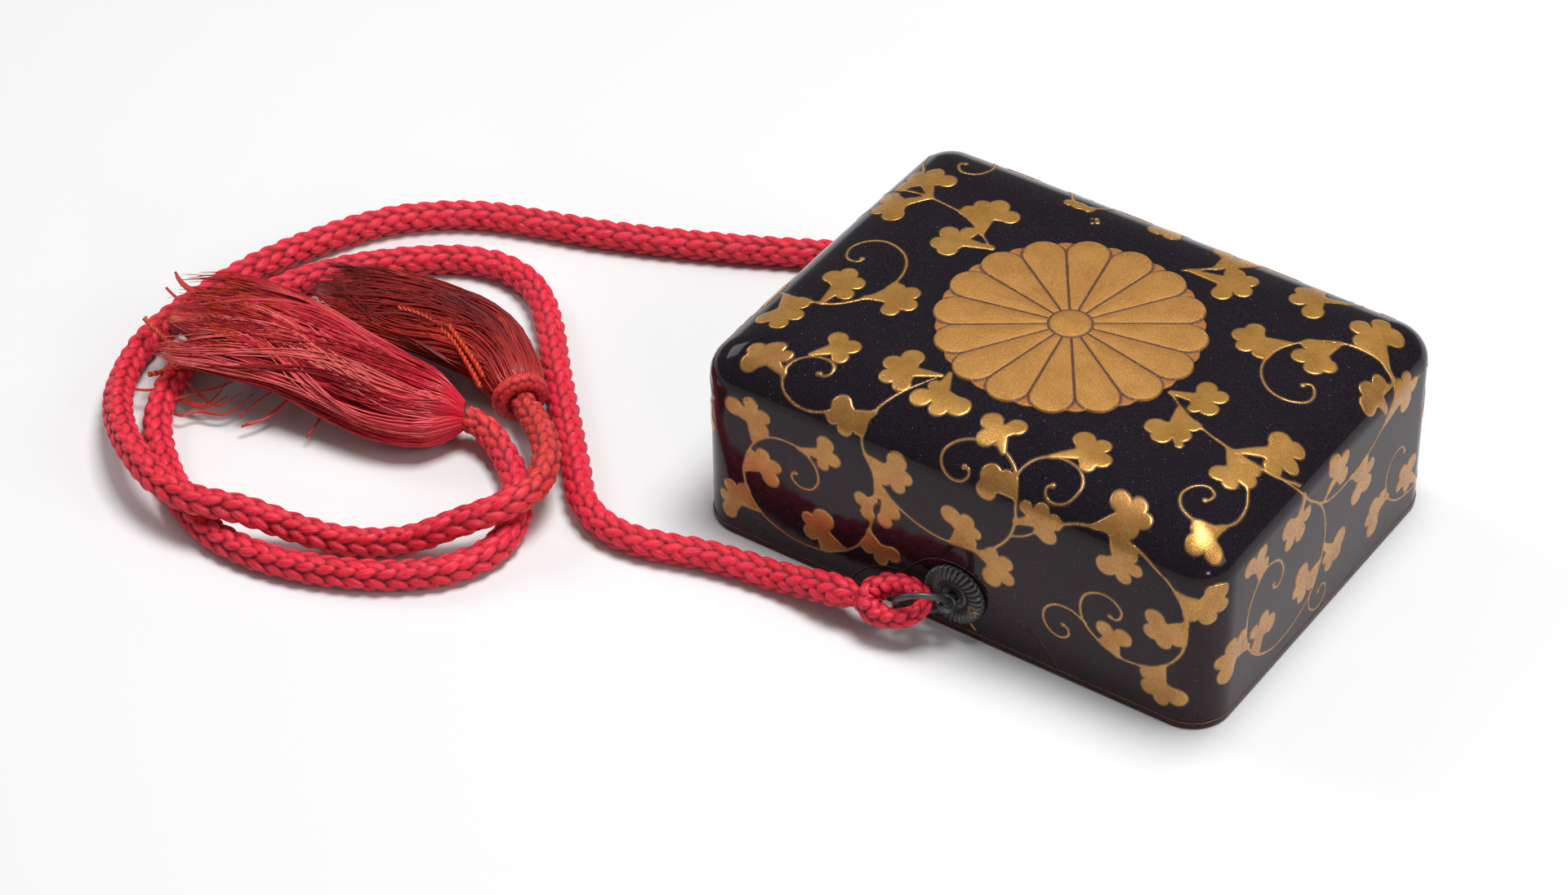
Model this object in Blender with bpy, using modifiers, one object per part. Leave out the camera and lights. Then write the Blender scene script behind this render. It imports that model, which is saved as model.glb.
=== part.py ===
# Lacquer candy box with a deep lid, two fluted ring fittings and two braided silk cords with tassels.
# Metres, +Z up. The origin is the centre of the underside, and X runs along the long side.
# The front is the long side that faces -Y. The back fitting mirrors the front one.
import math

import bmesh
import bpy
from mathutils import Matrix, Vector

MM = 0.001

# Box body and lid
BOX_LENGTH = 121.2 * MM
BOX_WIDTH = 90.9 * MM
BOX_HEIGHT = 46.9 * MM
CORNER_RADIUS = 8.4 * MM
EDGE_ROUND_ACROSS = 14.8 * MM
EDGE_ROUND_DOWN = 9.0 * MM
CORNER_SOFTNESS = 1.5 * MM
TOP_CROWN = 1.0 * MM
LID_WALL = 2.4 * MM
TRAY_WALL = 2.0 * MM
TRAY_FLOOR = 2.6 * MM
TRAY_BELOW_ROUND = 1.4 * MM
BASE_STRIP = 1.5 * MM
FOOT_ROUND = 0.4 * MM
FIT_GAP = 0.3 * MM

# Fluted plate, staple and ring on each long side
FITTING_X = 2.6 * MM
FITTING_Z = 10.3 * MM
PLATE_DIAMETER = 13.8 * MM
PLATE_RIM = 0.6 * MM
PLATE_CREST = 1.9 * MM
PLATE_CENTRE = 0.8 * MM
PLATE_FLUTES = 32
FLUTE_DEPTH = 0.4 * MM
PLATE_SECTION = ((1.0, 0.0, 0.0), (1.0, PLATE_RIM, 0.4), (0.9, 0.72 * PLATE_CREST, 1.0), (0.72, PLATE_CREST, 1.0),
                 (0.5, 0.8 * PLATE_CREST, 0.8), (0.3, PLATE_CENTRE, 0.3))
SHANK_RADIUS = 0.8 * MM
CLENCH_RADIUS = 2.0 * MM
CLENCH_THICK = 0.8 * MM
STAPLE_EYE_RADIUS = 1.8 * MM
STAPLE_WIRE = 1.1 * MM
STAPLE_TURN = math.radians(26)
RING_RADIUS = 5.1 * MM
RING_WIRE = 1.3 * MM
RING_REACH = Vector((-0.853, -0.514, -0.056)).normalized()
RING_NORMAL = Vector((0.467, -0.721, -0.513)).normalized()

# Tongue of the tray that rises round the plate, into each long side of the lid
TONGUE_X = 2.0 * MM
TONGUE_MARGIN = 0.2 * MM
ARCH_RADIUS = 11.5 * MM
ARCH_TURN = math.radians(45)
INNER_CUSP_OUT = 12.1 * MM
INNER_CUSP_DROP = 7.7 * MM
OUTER_CUSP_OUT = 24.4 * MM
SHOULDER_BULGE = 2.0 * MM

# Raised chrysanthemum on the lid
MEDALLION_RADIUS = 28.0 * MM
MEDALLION_RISE = 0.6 * MM
PETAL_GROOVE = 0.3 * MM
PETAL_TIP = 1.2 * MM
BUTTON_RADIUS = 4.4 * MM
BUTTON_RISE = 0.8 * MM
PETALS = 16
PETAL_SECTION = ((1.0, 0.35), (0.965, 0.85), (0.88, 1.0), (0.55, 1.0), (0.25, 0.9))
BUTTON_SECTION = ((1.0, 0.35), (0.9, 0.9), (0.5, 1.0))

# Cords and the small eye that ends each one in its ring
CORD_DIAMETER = 6.4 * MM
EYE_STRAND = 3.2 * MM
EYE_HALF_LENGTH = 5.8 * MM
EYE_HALF_WIDTH = 3.5 * MM
EYE_FROM_STAPLE = 4.6 * MM
EYE_RUN = Vector((-0.95, -0.27, -0.16)).normalized()

# Route of the front cord, in millimetres, from its eye to its tassel
FRONT_ROUTE = [
    (-18.5, -54.9, 7.1), (-23.5, -54.8, 5.9), (-29.6, -54.6, 4.3), (-36.5, -55.0, 3.3),
    (-44.0, -56.0, 3.3), (-52.6, -58.0, 3.3), (-61.5, -60.8, 3.3), (-69.2, -61.8, 3.3),
    (-76.0, -60.2, 3.3), (-82.2, -56.4, 3.3), (-87.8, -50.3, 3.3), (-93.8, -44.0, 3.3),
    (-100.4, -37.0, 3.3), (-107.3, -29.8, 3.3), (-114.5, -22.0, 3.3), (-123.0, -12.8, 3.3),
    (-131.0, -6.3, 3.3), (-140.5, -3.6, 3.3), (-150.5, -5.8, 3.3), (-161.0, -13.2, 3.3),
    (-169.6, -22.0, 3.3), (-175.8, -31.5, 3.3), (-179.6, -43.0, 3.3), (-180.8, -55.0, 3.3),
    (-178.8, -68.0, 3.3), (-174.5, -80.5, 3.3), (-167.5, -90.0, 3.3), (-158.0, -97.8, 3.3),
    (-147.5, -104.3, 3.3), (-136.5, -107.8, 3.3), (-123.5, -107.3, 3.3), (-110.5, -103.3, 3.3),
    (-99.0, -97.0, 3.3), (-90.6, -88.8, 3.3), (-87.2, -78.5, 3.3), (-90.0, -68.0, 3.3),
    (-97.2, -59.3, 3.3), (-104.6, -54.0, 3.8), (-110.6, -51.8, 5.4), (-115.0, -52.6, 7.0),
]

# Route of the back cord, in millimetres, from its eye to its tassel
BACK_ROUTE = [
    (-18.5, 54.9, 7.1), (-24.0, 55.0, 5.8), (-30.5, 55.4, 4.3), (-38.0, 56.0, 3.3),
    (-47.0, 56.4, 3.3), (-57.0, 54.9, 3.3), (-67.0, 51.0, 3.3), (-77.0, 45.0, 3.3),
    (-86.5, 39.0, 3.3), (-97.0, 33.4, 3.3), (-109.0, 27.6, 3.3), (-121.5, 22.0, 3.3),
    (-134.0, 17.2, 3.3), (-146.0, 13.4, 3.3), (-156.6, 9.4, 3.3), (-166.5, 3.0, 3.3),
    (-175.0, -6.2, 3.3), (-181.8, -18.5, 3.3), (-186.8, -31.0, 3.3), (-189.6, -44.0, 3.3),
    (-191.0, -57.5, 3.3), (-189.6, -70.0, 3.5), (-183.8, -82.5, 5.2), (-174.8, -93.4, 8.0),
    (-163.8, -101.8, 10.1), (-152.5, -106.6, 10.1), (-142.5, -107.2, 10.2), (-133.2, -103.6, 9.4),
    (-123.5, -99.0, 5.8), (-113.6, -94.4, 3.6), (-103.8, -88.0, 3.8), (-95.6, -81.8, 7.6),
    (-88.8, -74.4, 10.2), (-87.0, -65.8, 10.1), (-90.2, -57.2, 10.0), (-96.8, -49.6, 8.4),
    (-103.4, -44.4, 6.8), (-108.6, -41.2, 6.6),
]
PATH_STEP = 8.5 * MM

# Tassel sections from neck to tip, in millimetres: centre x, y and z, full width and full height
FRONT_TASSEL = [
    (-118.2, -53.6, 7.5, 11.0, 11.0), (-123.0, -54.6, 8.0, 15.0, 14.0), (-131.0, -55.4, 8.6, 17.0, 14.0),
    (-143.0, -56.4, 9.8, 20.0, 12.0), (-156.0, -58.0, 11.6, 25.0, 9.0), (-168.0, -60.4, 12.4, 30.0, 8.0),
    (-178.0, -63.4, 12.6, 33.0, 7.4), (-185.0, -66.0, 12.4, 30.0, 6.0),
]
BACK_TASSEL = [
    (-111.6, -39.0, 7.0, 11.0, 11.0), (-114.4, -36.6, 7.2, 12.4, 12.0), (-118.6, -33.6, 7.4, 13.0, 12.0),
    (-127.0, -29.6, 8.6, 18.0, 12.0), (-138.0, -27.2, 10.4, 22.0, 10.0), (-151.0, -26.6, 11.4, 25.0, 8.0),
    (-162.0, -28.6, 11.4, 27.0, 7.4), (-169.6, -31.4, 11.2, 25.0, 6.0),
]
NECK_DIAMETER = 6.0 * MM

# Colours as red, green and blue, then roughness and metallic
LACQUER = (0.012, 0.008, 0.008, 0.12, 0.0)
DARK_METAL = (0.045, 0.043, 0.042, 0.42, 0.9)
CRIMSON = (0.50, 0.018, 0.035, 0.60, 0.0)
FADED_RED = (0.42, 0.035, 0.030, 0.65, 0.0)

# Facets
SHARP_ANGLE = math.radians(35)
CORNER_STEPS = 6
EDGE_STEPS = 6
TOP_SHARES = (0.8, 0.4)
FOOT_SHARES = (0.0, 0.3, 1.0)
ARC_STEPS = 6
HOLE_SEGMENTS = 16
CURVE_STEPS = 12
STEPS_PER_PETAL = 4
TUBE_RESOLUTION = 2
RING_SEGMENTS = 28
WIRE_SEGMENTS = 8
EYE_SEGMENTS = 24
TASSEL_SIDES = 14

FRONT_FACE = BOX_WIDTH / 2
WALL_TOP = BOX_HEIGHT - TOP_CROWN / 2 - EDGE_ROUND_DOWN
TRAY_TOP = WALL_TOP - TRAY_BELOW_ROUND
TRAY_INSET = LID_WALL + FIT_GAP
HOLLOW_INSET = TRAY_INSET + TRAY_WALL
TONGUE_TOP = FITTING_Z + PLATE_DIAMETER / 2 + TONGUE_MARGIN
STAPLE_REACH = FRONT_FACE + 2 * FIT_GAP + PLATE_CENTRE + STAPLE_EYE_RADIUS + STAPLE_WIRE / 2
RISE = Vector((0, 0, 1))


def clear_scene():
    for obj in list(bpy.data.objects):
        bpy.data.objects.remove(obj, do_unlink=True)


def make_collection(name):
    collection = bpy.data.collections.new(name)
    bpy.context.scene.collection.children.link(collection)
    return collection


def make_material(name, finish):
    material = bpy.data.materials.new(name)
    material.use_nodes = True
    shader = material.node_tree.nodes["Principled BSDF"]
    shader.inputs["Base Color"].default_value = (finish[0], finish[1], finish[2], 1.0)
    shader.inputs["Roughness"].default_value = finish[3]
    shader.inputs["Metallic"].default_value = finish[4]
    return material


def add_part(name, mesh, collection, finish):
    """A visible piece, shaded smooth but for its sharp edges."""
    obj = bpy.data.objects.new(name, mesh)
    collection.objects.link(obj)
    mesh.materials.append(make_material(name, finish))
    mesh.shade_smooth()
    mesh.set_sharp_from_angle(angle=SHARP_ANGLE)
    return obj


def add_cutter(name, mesh, collection):
    """A piece that only cuts another or is joined to it."""
    obj = bpy.data.objects.new(name, mesh)
    collection.objects.link(obj)
    obj.hide_render = True
    obj.display_type = "WIRE"
    return obj


def mesh_from(bm, name):
    bmesh.ops.recalc_face_normals(bm, faces=bm.faces)
    mesh = bpy.data.meshes.new(name)
    bm.to_mesh(mesh)
    bm.free()
    return mesh


def bake(obj):
    """Replace an object's mesh with the one that its modifiers give."""
    graph = bpy.context.evaluated_depsgraph_get()
    mesh = bpy.data.meshes.new_from_object(obj.evaluated_get(graph))
    old = obj.data
    obj.modifiers.clear()
    obj.data = mesh
    bpy.data.meshes.remove(old)


def combine(obj, other, operation):
    """Join another object to this one, or cut it out of this one, and remove the other."""
    modifier = obj.modifiers.new(operation.lower(), "BOOLEAN")
    modifier.object = other
    modifier.operation = operation
    modifier.solver = "EXACT"
    bake(obj)
    bpy.data.objects.remove(other, do_unlink=True)


def loft(bm, rings, first_cap=True, last_cap=True, closed=False):
    """Faces between rings of equally many points, and over the first and the last ring."""
    rows = [[bm.verts.new(point) for point in ring] for ring in rings]
    count = len(rows[0])
    pairs = list(zip(rows, rows[1:]))
    if closed:
        pairs.append((rows[-1], rows[0]))
    for low, high in pairs:
        for i in range(count):
            j = (i + 1) % count
            bm.faces.new((low[i], low[j], high[j], high[i]))
    if first_cap and not closed:
        bm.faces.new(rows[0])
    if last_cap and not closed:
        bm.faces.new(rows[-1])


def loft_mesh(name, rings, **caps):
    bm = bmesh.new()
    loft(bm, rings, **caps)
    return mesh_from(bm, name)


def cylinder_along_y(name, radius, start, end, collection):
    """Cutter round the fitting's own axis, between two distances from the middle of the box."""
    bm = bmesh.new()
    place = Matrix.Translation((FITTING_X, (start + end) / 2, FITTING_Z))
    turn = Matrix.Rotation(math.pi / 2, 4, "X")
    bmesh.ops.create_cone(bm, cap_ends=True, segments=HOLE_SEGMENTS, radius1=radius, radius2=radius,
                          depth=abs(end - start), matrix=place @ turn)
    return add_cutter(name, mesh_from(bm, name), collection)


def torus(name, centre, rotation, radius, wire, segments, collection):
    bpy.ops.mesh.primitive_torus_add(
        major_radius=radius, minor_radius=wire / 2, major_segments=segments,
        minor_segments=WIRE_SEGMENTS, location=centre, rotation=rotation)
    obj = bpy.context.object
    obj.name = name
    for owner in list(obj.users_collection):
        owner.objects.unlink(obj)
    collection.objects.link(obj)
    return obj


def rounded_rectangle(inset, radius):
    """Points of the box's outline, set in and with round corners, anticlockwise."""
    points = []
    for quarter, (sx, sy) in enumerate(((1, 1), (-1, 1), (-1, -1), (1, -1))):
        cx = sx * (BOX_LENGTH / 2 - inset - radius)
        cy = sy * (BOX_WIDTH / 2 - inset - radius)
        for step in range(CORNER_STEPS + 1):
            turn = math.pi / 2 * (quarter + step / CORNER_STEPS)
            points.append(Vector((cx + radius * math.cos(turn), cy + radius * math.sin(turn), 0)))
    return points


def prism(name, inset, bottom, top, collection):
    """Upright block whose corners are concentric with the box's."""
    outline = rounded_rectangle(inset, CORNER_RADIUS - inset)
    rings = [[point + RISE * z for point in outline] for z in (bottom, top)]
    return add_cutter(name, loft_mesh(name, rings), collection)


def tongue_outline(gap):
    """Bracket shape round the fitting, from left to right as x and z, widened by a gap."""
    half = []
    for step in range(ARC_STEPS + 1):
        turn = ARCH_TURN * step / ARC_STEPS
        half.append(Vector((math.sin(turn), math.cos(turn) - 1)) * ARCH_RADIUS + Vector((0, TONGUE_TOP)))
    start = Vector((INNER_CUSP_OUT, TONGUE_TOP - INNER_CUSP_DROP))
    end = Vector((OUTER_CUSP_OUT, BASE_STRIP))
    chord = end - start
    outward = Vector((-chord.y, chord.x)).normalized()
    for step in range(ARC_STEPS + 1):
        share = step / ARC_STEPS
        half.append(start + chord * share + outward * SHOULDER_BULGE * 4 * share * (1 - share))
    points = [Vector((-p.x, p.y)) for p in reversed(half[1:])] + half
    outline = []
    for i, point in enumerate(points):
        before = points[max(i - 1, 0)]
        after = points[min(i + 1, len(points) - 1)]
        along = (after - before).normalized()
        outline.append(point + Vector((-along.y, along.x)) * gap)
    return [(TONGUE_X + p.x, p.y) for p in outline]


def tongue_block(name, gap, side, inner, outer, bottom, collection):
    """The tongue as a block between two distances from the middle of the box, on one long side."""
    outline = tongue_outline(gap)
    outline.append((outline[-1][0], bottom))
    outline.append((outline[0][0], bottom))
    rings = [[Vector((x, side * y, z)) for x, z in outline] for y in (inner, outer)]
    return add_cutter(name, loft_mesh(name, rings), collection)


def make_tray(parts, cutters):
    """Base strip, inner wall, two tongues, the hollow and a hole for each staple."""
    rings = []
    for share in FOOT_SHARES:
        inset = FOOT_ROUND * (1 - math.sqrt(1 - (1 - share) ** 2))
        outline = rounded_rectangle(inset, CORNER_RADIUS - inset)
        rings.append([point + RISE * FOOT_ROUND * share for point in outline])
    rings.append([point + RISE * BASE_STRIP for point in outline])
    tray = add_part("tray", loft_mesh("tray", rings), parts, LACQUER)
    combine(tray, prism("wall", TRAY_INSET, BASE_STRIP / 2, TRAY_TOP, cutters), "UNION")
    within = FRONT_FACE - TRAY_INSET - TRAY_WALL / 2
    for side in (-1, 1):
        tongue = tongue_block("tongue", 0.0, side, within, FRONT_FACE, BASE_STRIP / 2, cutters)
        combine(tray, tongue, "UNION")
    combine(tray, prism("hollow", HOLLOW_INSET, TRAY_FLOOR, BOX_HEIGHT, cutters), "DIFFERENCE")
    for side in (-1, 1):
        start = side * (FRONT_FACE - HOLLOW_INSET - TRAY_WALL)
        end = side * (FRONT_FACE + TRAY_WALL)
        hole = cylinder_along_y("hole", SHANK_RADIUS + FIT_GAP, start, end, cutters)
        combine(tray, hole, "DIFFERENCE")


def corner_at(inset):
    """Corner radius of the lid's outline at an inset, easing to almost sharp on the flat top."""
    rest = CORNER_RADIUS - inset
    return (rest + math.hypot(rest, 2 * CORNER_SOFTNESS)) / 2


def top_height(x, y):
    """Height of the crowned top, without the rounding of its edge."""
    return BOX_HEIGHT - TOP_CROWN / 2 * ((2 * x / BOX_LENGTH) ** 2 + (2 * y / BOX_WIDTH) ** 2)


def lid_rings():
    """Outlines of the lid's outer face, from its rim up over the rounded edge to the middle."""
    outline = rounded_rectangle(0.0, corner_at(0.0))
    rings = [[point + RISE * (BASE_STRIP + FIT_GAP) for point in outline]]
    for step in range(EDGE_STEPS + 1):
        turn = math.pi / 2 * step / EDGE_STEPS
        inset = EDGE_ROUND_ACROSS * (1 - math.cos(turn))
        drop = EDGE_ROUND_DOWN * (1 - math.sin(turn))
        outline = rounded_rectangle(inset, corner_at(inset))
        rings.append([point + RISE * (top_height(point.x, point.y) - drop) for point in outline])
    for share in TOP_SHARES:
        ring = [point * share for point in outline]
        rings.append([point + RISE * top_height(point.x, point.y) for point in ring])
    return rings


def petal_position(turn):
    """-1 to 1 across one petal, 0 along its middle. One petal points along +X."""
    half = math.pi / PETALS
    return ((turn + half) % (2 * half) - half) / half


def medallion_rings():
    """Chrysanthemum of sixteen petals round a button, from its buried foot up and in to the middle."""
    count = STEPS_PER_PETAL * PETALS
    turns = [2 * math.pi * i / count for i in range(count)]
    rings = []
    for share, rise in ((1.0, None),) + PETAL_SECTION:
        ring = []
        for turn in turns:
            across = petal_position(turn)
            radius = share * MEDALLION_RADIUS - PETAL_TIP * across * across * share ** 8
            x, y = radius * math.cos(turn), radius * math.sin(turn)
            if rise is None:
                ring.append(Vector((x, y, BOX_HEIGHT - TOP_CROWN / 2 - LID_WALL / 2)))
            else:
                height = MEDALLION_RISE * rise - PETAL_GROOVE * abs(across) ** 5
                ring.append(Vector((x, y, top_height(x, y) + height)))
        rings.append(ring)
    for share, rise in BUTTON_SECTION:
        radius = BUTTON_RADIUS * share
        rings.append([Vector((radius * math.cos(turn), radius * math.sin(turn), BOX_HEIGHT + BUTTON_RISE * rise))
                      for turn in turns])
    return rings


def make_lid(parts, cutters):
    """Crowned shell with a bracket cut out of each long wall and the raised chrysanthemum on top."""
    bm = bmesh.new()
    loft(bm, lid_rings(), first_cap=False)
    lid = add_part("lid", mesh_from(bm, "lid"), parts, LACQUER)
    shell = lid.modifiers.new("wall", "SOLIDIFY")
    shell.thickness = LID_WALL
    shell.offset = -1
    shell.use_even_offset = True
    bake(lid)
    for side in (-1, 1):
        inner = FRONT_FACE - TRAY_INSET - FIT_GAP
        outer = FRONT_FACE + LID_WALL
        notch = tongue_block("notch", FIT_GAP, side, inner, outer, 0.0, cutters)
        combine(lid, notch, "DIFFERENCE")
    medallion = add_cutter("medallion", loft_mesh("medallion", medallion_rings()), cutters)
    combine(lid, medallion, "UNION")


def mirrored(point, side):
    """A point of the front fitting, or its mirror image on the back."""
    return Vector((point.x, -side * point.y, point.z))


def make_plate(side, name, parts):
    """Fluted rosette with a raised crest, a lower middle and a hole for the staple."""
    hole = SHANK_RADIUS + FIT_GAP
    edge = PLATE_DIAMETER / 2
    profile = [(edge * share, height, fluting) for share, height, fluting in PLATE_SECTION]
    profile += [(hole, PLATE_CENTRE, 0.0), (hole, 0.0, 0.0)]
    count = 2 * PLATE_FLUTES
    rings = []
    for radius, height, fluting in profile:
        ring = []
        for i in range(count):
            turn = 2 * math.pi * i / count
            out = height - FLUTE_DEPTH * fluting * (i % 2)
            scallop = radius - (FLUTE_DEPTH * (i % 2) if radius == edge else 0)
            ring.append(Vector((FITTING_X + scallop * math.cos(turn), side * (FRONT_FACE + FIT_GAP + out),
                                FITTING_Z + scallop * math.sin(turn))))
        rings.append(ring)
    add_part(name, loft_mesh(name, rings, closed=True), parts, DARK_METAL)


def staple_eye(side):
    """Middle of the staple's eye, where the ring passes through it."""
    return Vector((FITTING_X, side * STAPLE_REACH, FITTING_Z))


def make_staple(side, name, parts, cutters):
    """Eye on a shank that runs through the plate and the wall, clenched on the inside."""
    inside = side * (FRONT_FACE - HOLLOW_INSET - FIT_GAP)
    clench_end = inside - side * CLENCH_THICK
    eye = torus(name, staple_eye(side), (0, STAPLE_TURN, 0), STAPLE_EYE_RADIUS, STAPLE_WIRE,
                EYE_SEGMENTS, parts)
    finish_wire(eye, name)
    meeting = side * (STAPLE_REACH - STAPLE_EYE_RADIUS)
    shank = cylinder_along_y("shank", SHANK_RADIUS, clench_end, meeting, cutters)
    combine(eye, shank, "UNION")
    clench = cylinder_along_y("clench", CLENCH_RADIUS, clench_end, inside, cutters)
    combine(eye, clench, "UNION")


def finish_wire(obj, name):
    obj.data.materials.append(make_material(name, DARK_METAL))
    obj.data.shade_smooth()


def make_ring(side, name, parts):
    """Plain wire ring that hangs from the staple, drawn towards the cord."""
    normal = mirrored(RING_NORMAL, side)
    rotation = RISE.rotation_difference(normal).to_euler()
    middle = staple_eye(side) + mirrored(RING_REACH, side) * RING_RADIUS
    finish_wire(torus(name, middle, rotation, RING_RADIUS, RING_WIRE, RING_SEGMENTS, parts), name)


def smooth_path(points, step):
    """Evenly spaced points on a smooth curve through the given ones."""
    fine = []
    count = len(points)
    for i in range(count - 1):
        before = points[max(i - 1, 0)]
        start, end = points[i], points[i + 1]
        after = points[min(i + 2, count - 1)]
        for k in range(CURVE_STEPS):
            t = k / CURVE_STEPS
            fine.append(0.5 * (2 * start + (end - before) * t
                               + (2 * before - 5 * start + 4 * end - after) * t * t
                               + (3 * start - before - 3 * end + after) * t ** 3))
    fine.append(points[-1])
    total = sum((b - a).length for a, b in zip(fine, fine[1:]))
    pieces = max(round(total / step), 1)
    even, travelled, wanted = [fine[0]], 0.0, total / pieces
    for a, b in zip(fine, fine[1:]):
        length = (b - a).length
        while len(even) < pieces and travelled + length >= wanted * len(even):
            even.append(a.lerp(b, (wanted * len(even) - travelled) / length))
        travelled += length
    even.append(fine[-1])
    return even


def tube(name, points, diameter, finish, parts, closed=False):
    """Round tube along points, as a curve with filled ends, or closed on itself."""
    curve = bpy.data.curves.new(name, "CURVE")
    curve.dimensions = "3D"
    curve.bevel_depth = diameter / 2
    curve.bevel_resolution = TUBE_RESOLUTION
    curve.use_fill_caps = not closed
    spline = curve.splines.new("POLY")
    spline.points.add(len(points) - 1)
    for target, point in zip(spline.points, points):
        target.co = (*point, 1)
    spline.use_cyclic_u = closed
    obj = bpy.data.objects.new(name, curve)
    parts.objects.link(obj)
    curve.materials.append(make_material(name, finish))


def eye_frame(side):
    """Middle, long direction and short direction of the eye at the end of a cord."""
    run = mirrored(EYE_RUN, side)
    normal = mirrored(RING_NORMAL, side)
    short = (normal - run * normal.dot(run)).normalized()
    near = staple_eye(side) + mirrored(RING_REACH, side) * EYE_FROM_STAPLE
    return near + run * EYE_HALF_LENGTH, run, short


def make_cord_eye(side, name, parts):
    """Oval eye of thinner braid that passes through the ring."""
    middle, run, short = eye_frame(side)
    points = []
    for i in range(EYE_SEGMENTS):
        turn = 2 * math.pi * i / EYE_SEGMENTS
        points.append(middle + run * EYE_HALF_LENGTH * math.cos(turn) + short * EYE_HALF_WIDTH * math.sin(turn))
    tube(name, points, EYE_STRAND, CRIMSON, parts, closed=True)


def cord_points(side, route):
    middle, run, _ = eye_frame(side)
    start = middle + run * (EYE_HALF_LENGTH + EYE_STRAND / 2 + FIT_GAP)
    return [start] + [Vector(point) * MM for point in route]


def make_tassel(name, path, sections, finish, parts):
    """Soft solid of the tassel: neck, swelling head and flattened fringe, as oval sections."""
    leaving = (path[-1] - path[-2]).normalized()
    centres = [path[-1] + leaving * FIT_GAP] + [Vector(s[:3]) * MM for s in sections]
    spans = [(NECK_DIAMETER, NECK_DIAMETER)] + [(s[3] * MM, s[4] * MM) for s in sections]
    rings = []
    for i, (centre, (width, height)) in enumerate(zip(centres, spans)):
        if i == 0:
            along = leaving
        else:
            along = (centres[min(i + 1, len(centres) - 1)] - centres[i - 1]).normalized()
        sideways = along.cross(RISE).normalized()
        upward = sideways.cross(along)
        ring = []
        for k in range(TASSEL_SIDES):
            turn = 2 * math.pi * k / TASSEL_SIDES
            ring.append(centre + sideways * width / 2 * math.cos(turn) + upward * height / 2 * math.sin(turn))
        rings.append(ring)
    add_part(name, loft_mesh(name, rings), parts, finish)


def make_side(side, label, route, sections, finish, parts, cutters):
    """Everything that one long side carries, from its plate to its tassel."""
    make_plate(side, label + "_plate", parts)
    make_staple(side, label + "_staple", parts, cutters)
    make_ring(side, label + "_ring", parts)
    make_cord_eye(side, label + "_cord_eye", parts)
    path = smooth_path(cord_points(side, route), PATH_STEP)
    tube(label + "_cord", path, CORD_DIAMETER, CRIMSON, parts)
    make_tassel(label + "_tassel", path, sections, finish, parts)


def main():
    clear_scene()
    parts = make_collection("lacquer_candy_box")
    cutters = make_collection("cutters")
    make_tray(parts, cutters)
    make_lid(parts, cutters)
    make_side(-1, "front", FRONT_ROUTE, FRONT_TASSEL, CRIMSON, parts, cutters)
    make_side(1, "back", BACK_ROUTE, BACK_TASSEL, FADED_RED, parts, cutters)


main()
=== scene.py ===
# Looks of the lacquer candy box: a fine mesh and a finish for every piece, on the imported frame.
# The frame is the row's own: +Z up, the front faces -Y. Lengths are in metres, but in millimetres in
# the tables of points, under names that end in _mm, and along the braids, tassels and threads.
import math
import random

import bmesh
import bpy
import numpy as np
from mathutils import Matrix, Vector


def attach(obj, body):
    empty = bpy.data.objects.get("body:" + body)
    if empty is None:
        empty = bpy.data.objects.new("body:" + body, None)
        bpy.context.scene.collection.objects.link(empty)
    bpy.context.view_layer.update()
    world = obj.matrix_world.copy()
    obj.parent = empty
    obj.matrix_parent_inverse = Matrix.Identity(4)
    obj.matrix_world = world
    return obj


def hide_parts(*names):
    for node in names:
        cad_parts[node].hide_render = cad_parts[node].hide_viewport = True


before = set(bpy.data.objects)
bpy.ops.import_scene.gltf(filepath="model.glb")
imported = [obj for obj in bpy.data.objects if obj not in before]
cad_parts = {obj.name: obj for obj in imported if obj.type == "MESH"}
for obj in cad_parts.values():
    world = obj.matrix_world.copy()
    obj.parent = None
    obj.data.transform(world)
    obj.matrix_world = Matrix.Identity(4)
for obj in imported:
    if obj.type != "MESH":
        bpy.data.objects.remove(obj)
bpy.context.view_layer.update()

MM = 0.001
BODY = "root"

# Box body and lid, as in the part's source
BOX_LENGTH = 121.2 * MM
BOX_WIDTH = 90.9 * MM
BOX_HEIGHT = 46.9 * MM
CORNER_RADIUS = 8.4 * MM
EDGE_ROUND_ACROSS = 14.8 * MM
EDGE_ROUND_DOWN = 9.0 * MM
CORNER_SOFTNESS = 1.5 * MM
TOP_CROWN = 1.0 * MM
LID_WALL = 2.4 * MM
TRAY_WALL = 2.0 * MM
TRAY_FLOOR = 2.6 * MM
TRAY_BELOW_ROUND = 1.4 * MM
BASE_STRIP = 1.5 * MM
FOOT_ROUND = 0.4 * MM
FIT_GAP = 0.3 * MM

# Fittings, as in the part's source
FITTING_X = 2.6 * MM
FITTING_Z = 10.3 * MM
PLATE_DIAMETER = 13.8 * MM
PLATE_RIM = 0.6 * MM
PLATE_CREST = 1.9 * MM
PLATE_CENTRE = 0.8 * MM
PLATE_FLUTES = 32
SHANK_RADIUS = 0.8 * MM
CLENCH_RADIUS = 2.0 * MM
CLENCH_THICK = 0.8 * MM
STAPLE_EYE_RADIUS = 1.8 * MM
STAPLE_WIRE = 1.1 * MM
STAPLE_TURN = math.radians(26)
RING_RADIUS = 5.1 * MM
RING_WIRE = 1.3 * MM
RING_REACH = Vector((-0.853, -0.514, -0.056)).normalized()
RING_NORMAL = Vector((0.467, -0.721, -0.513)).normalized()

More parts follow.
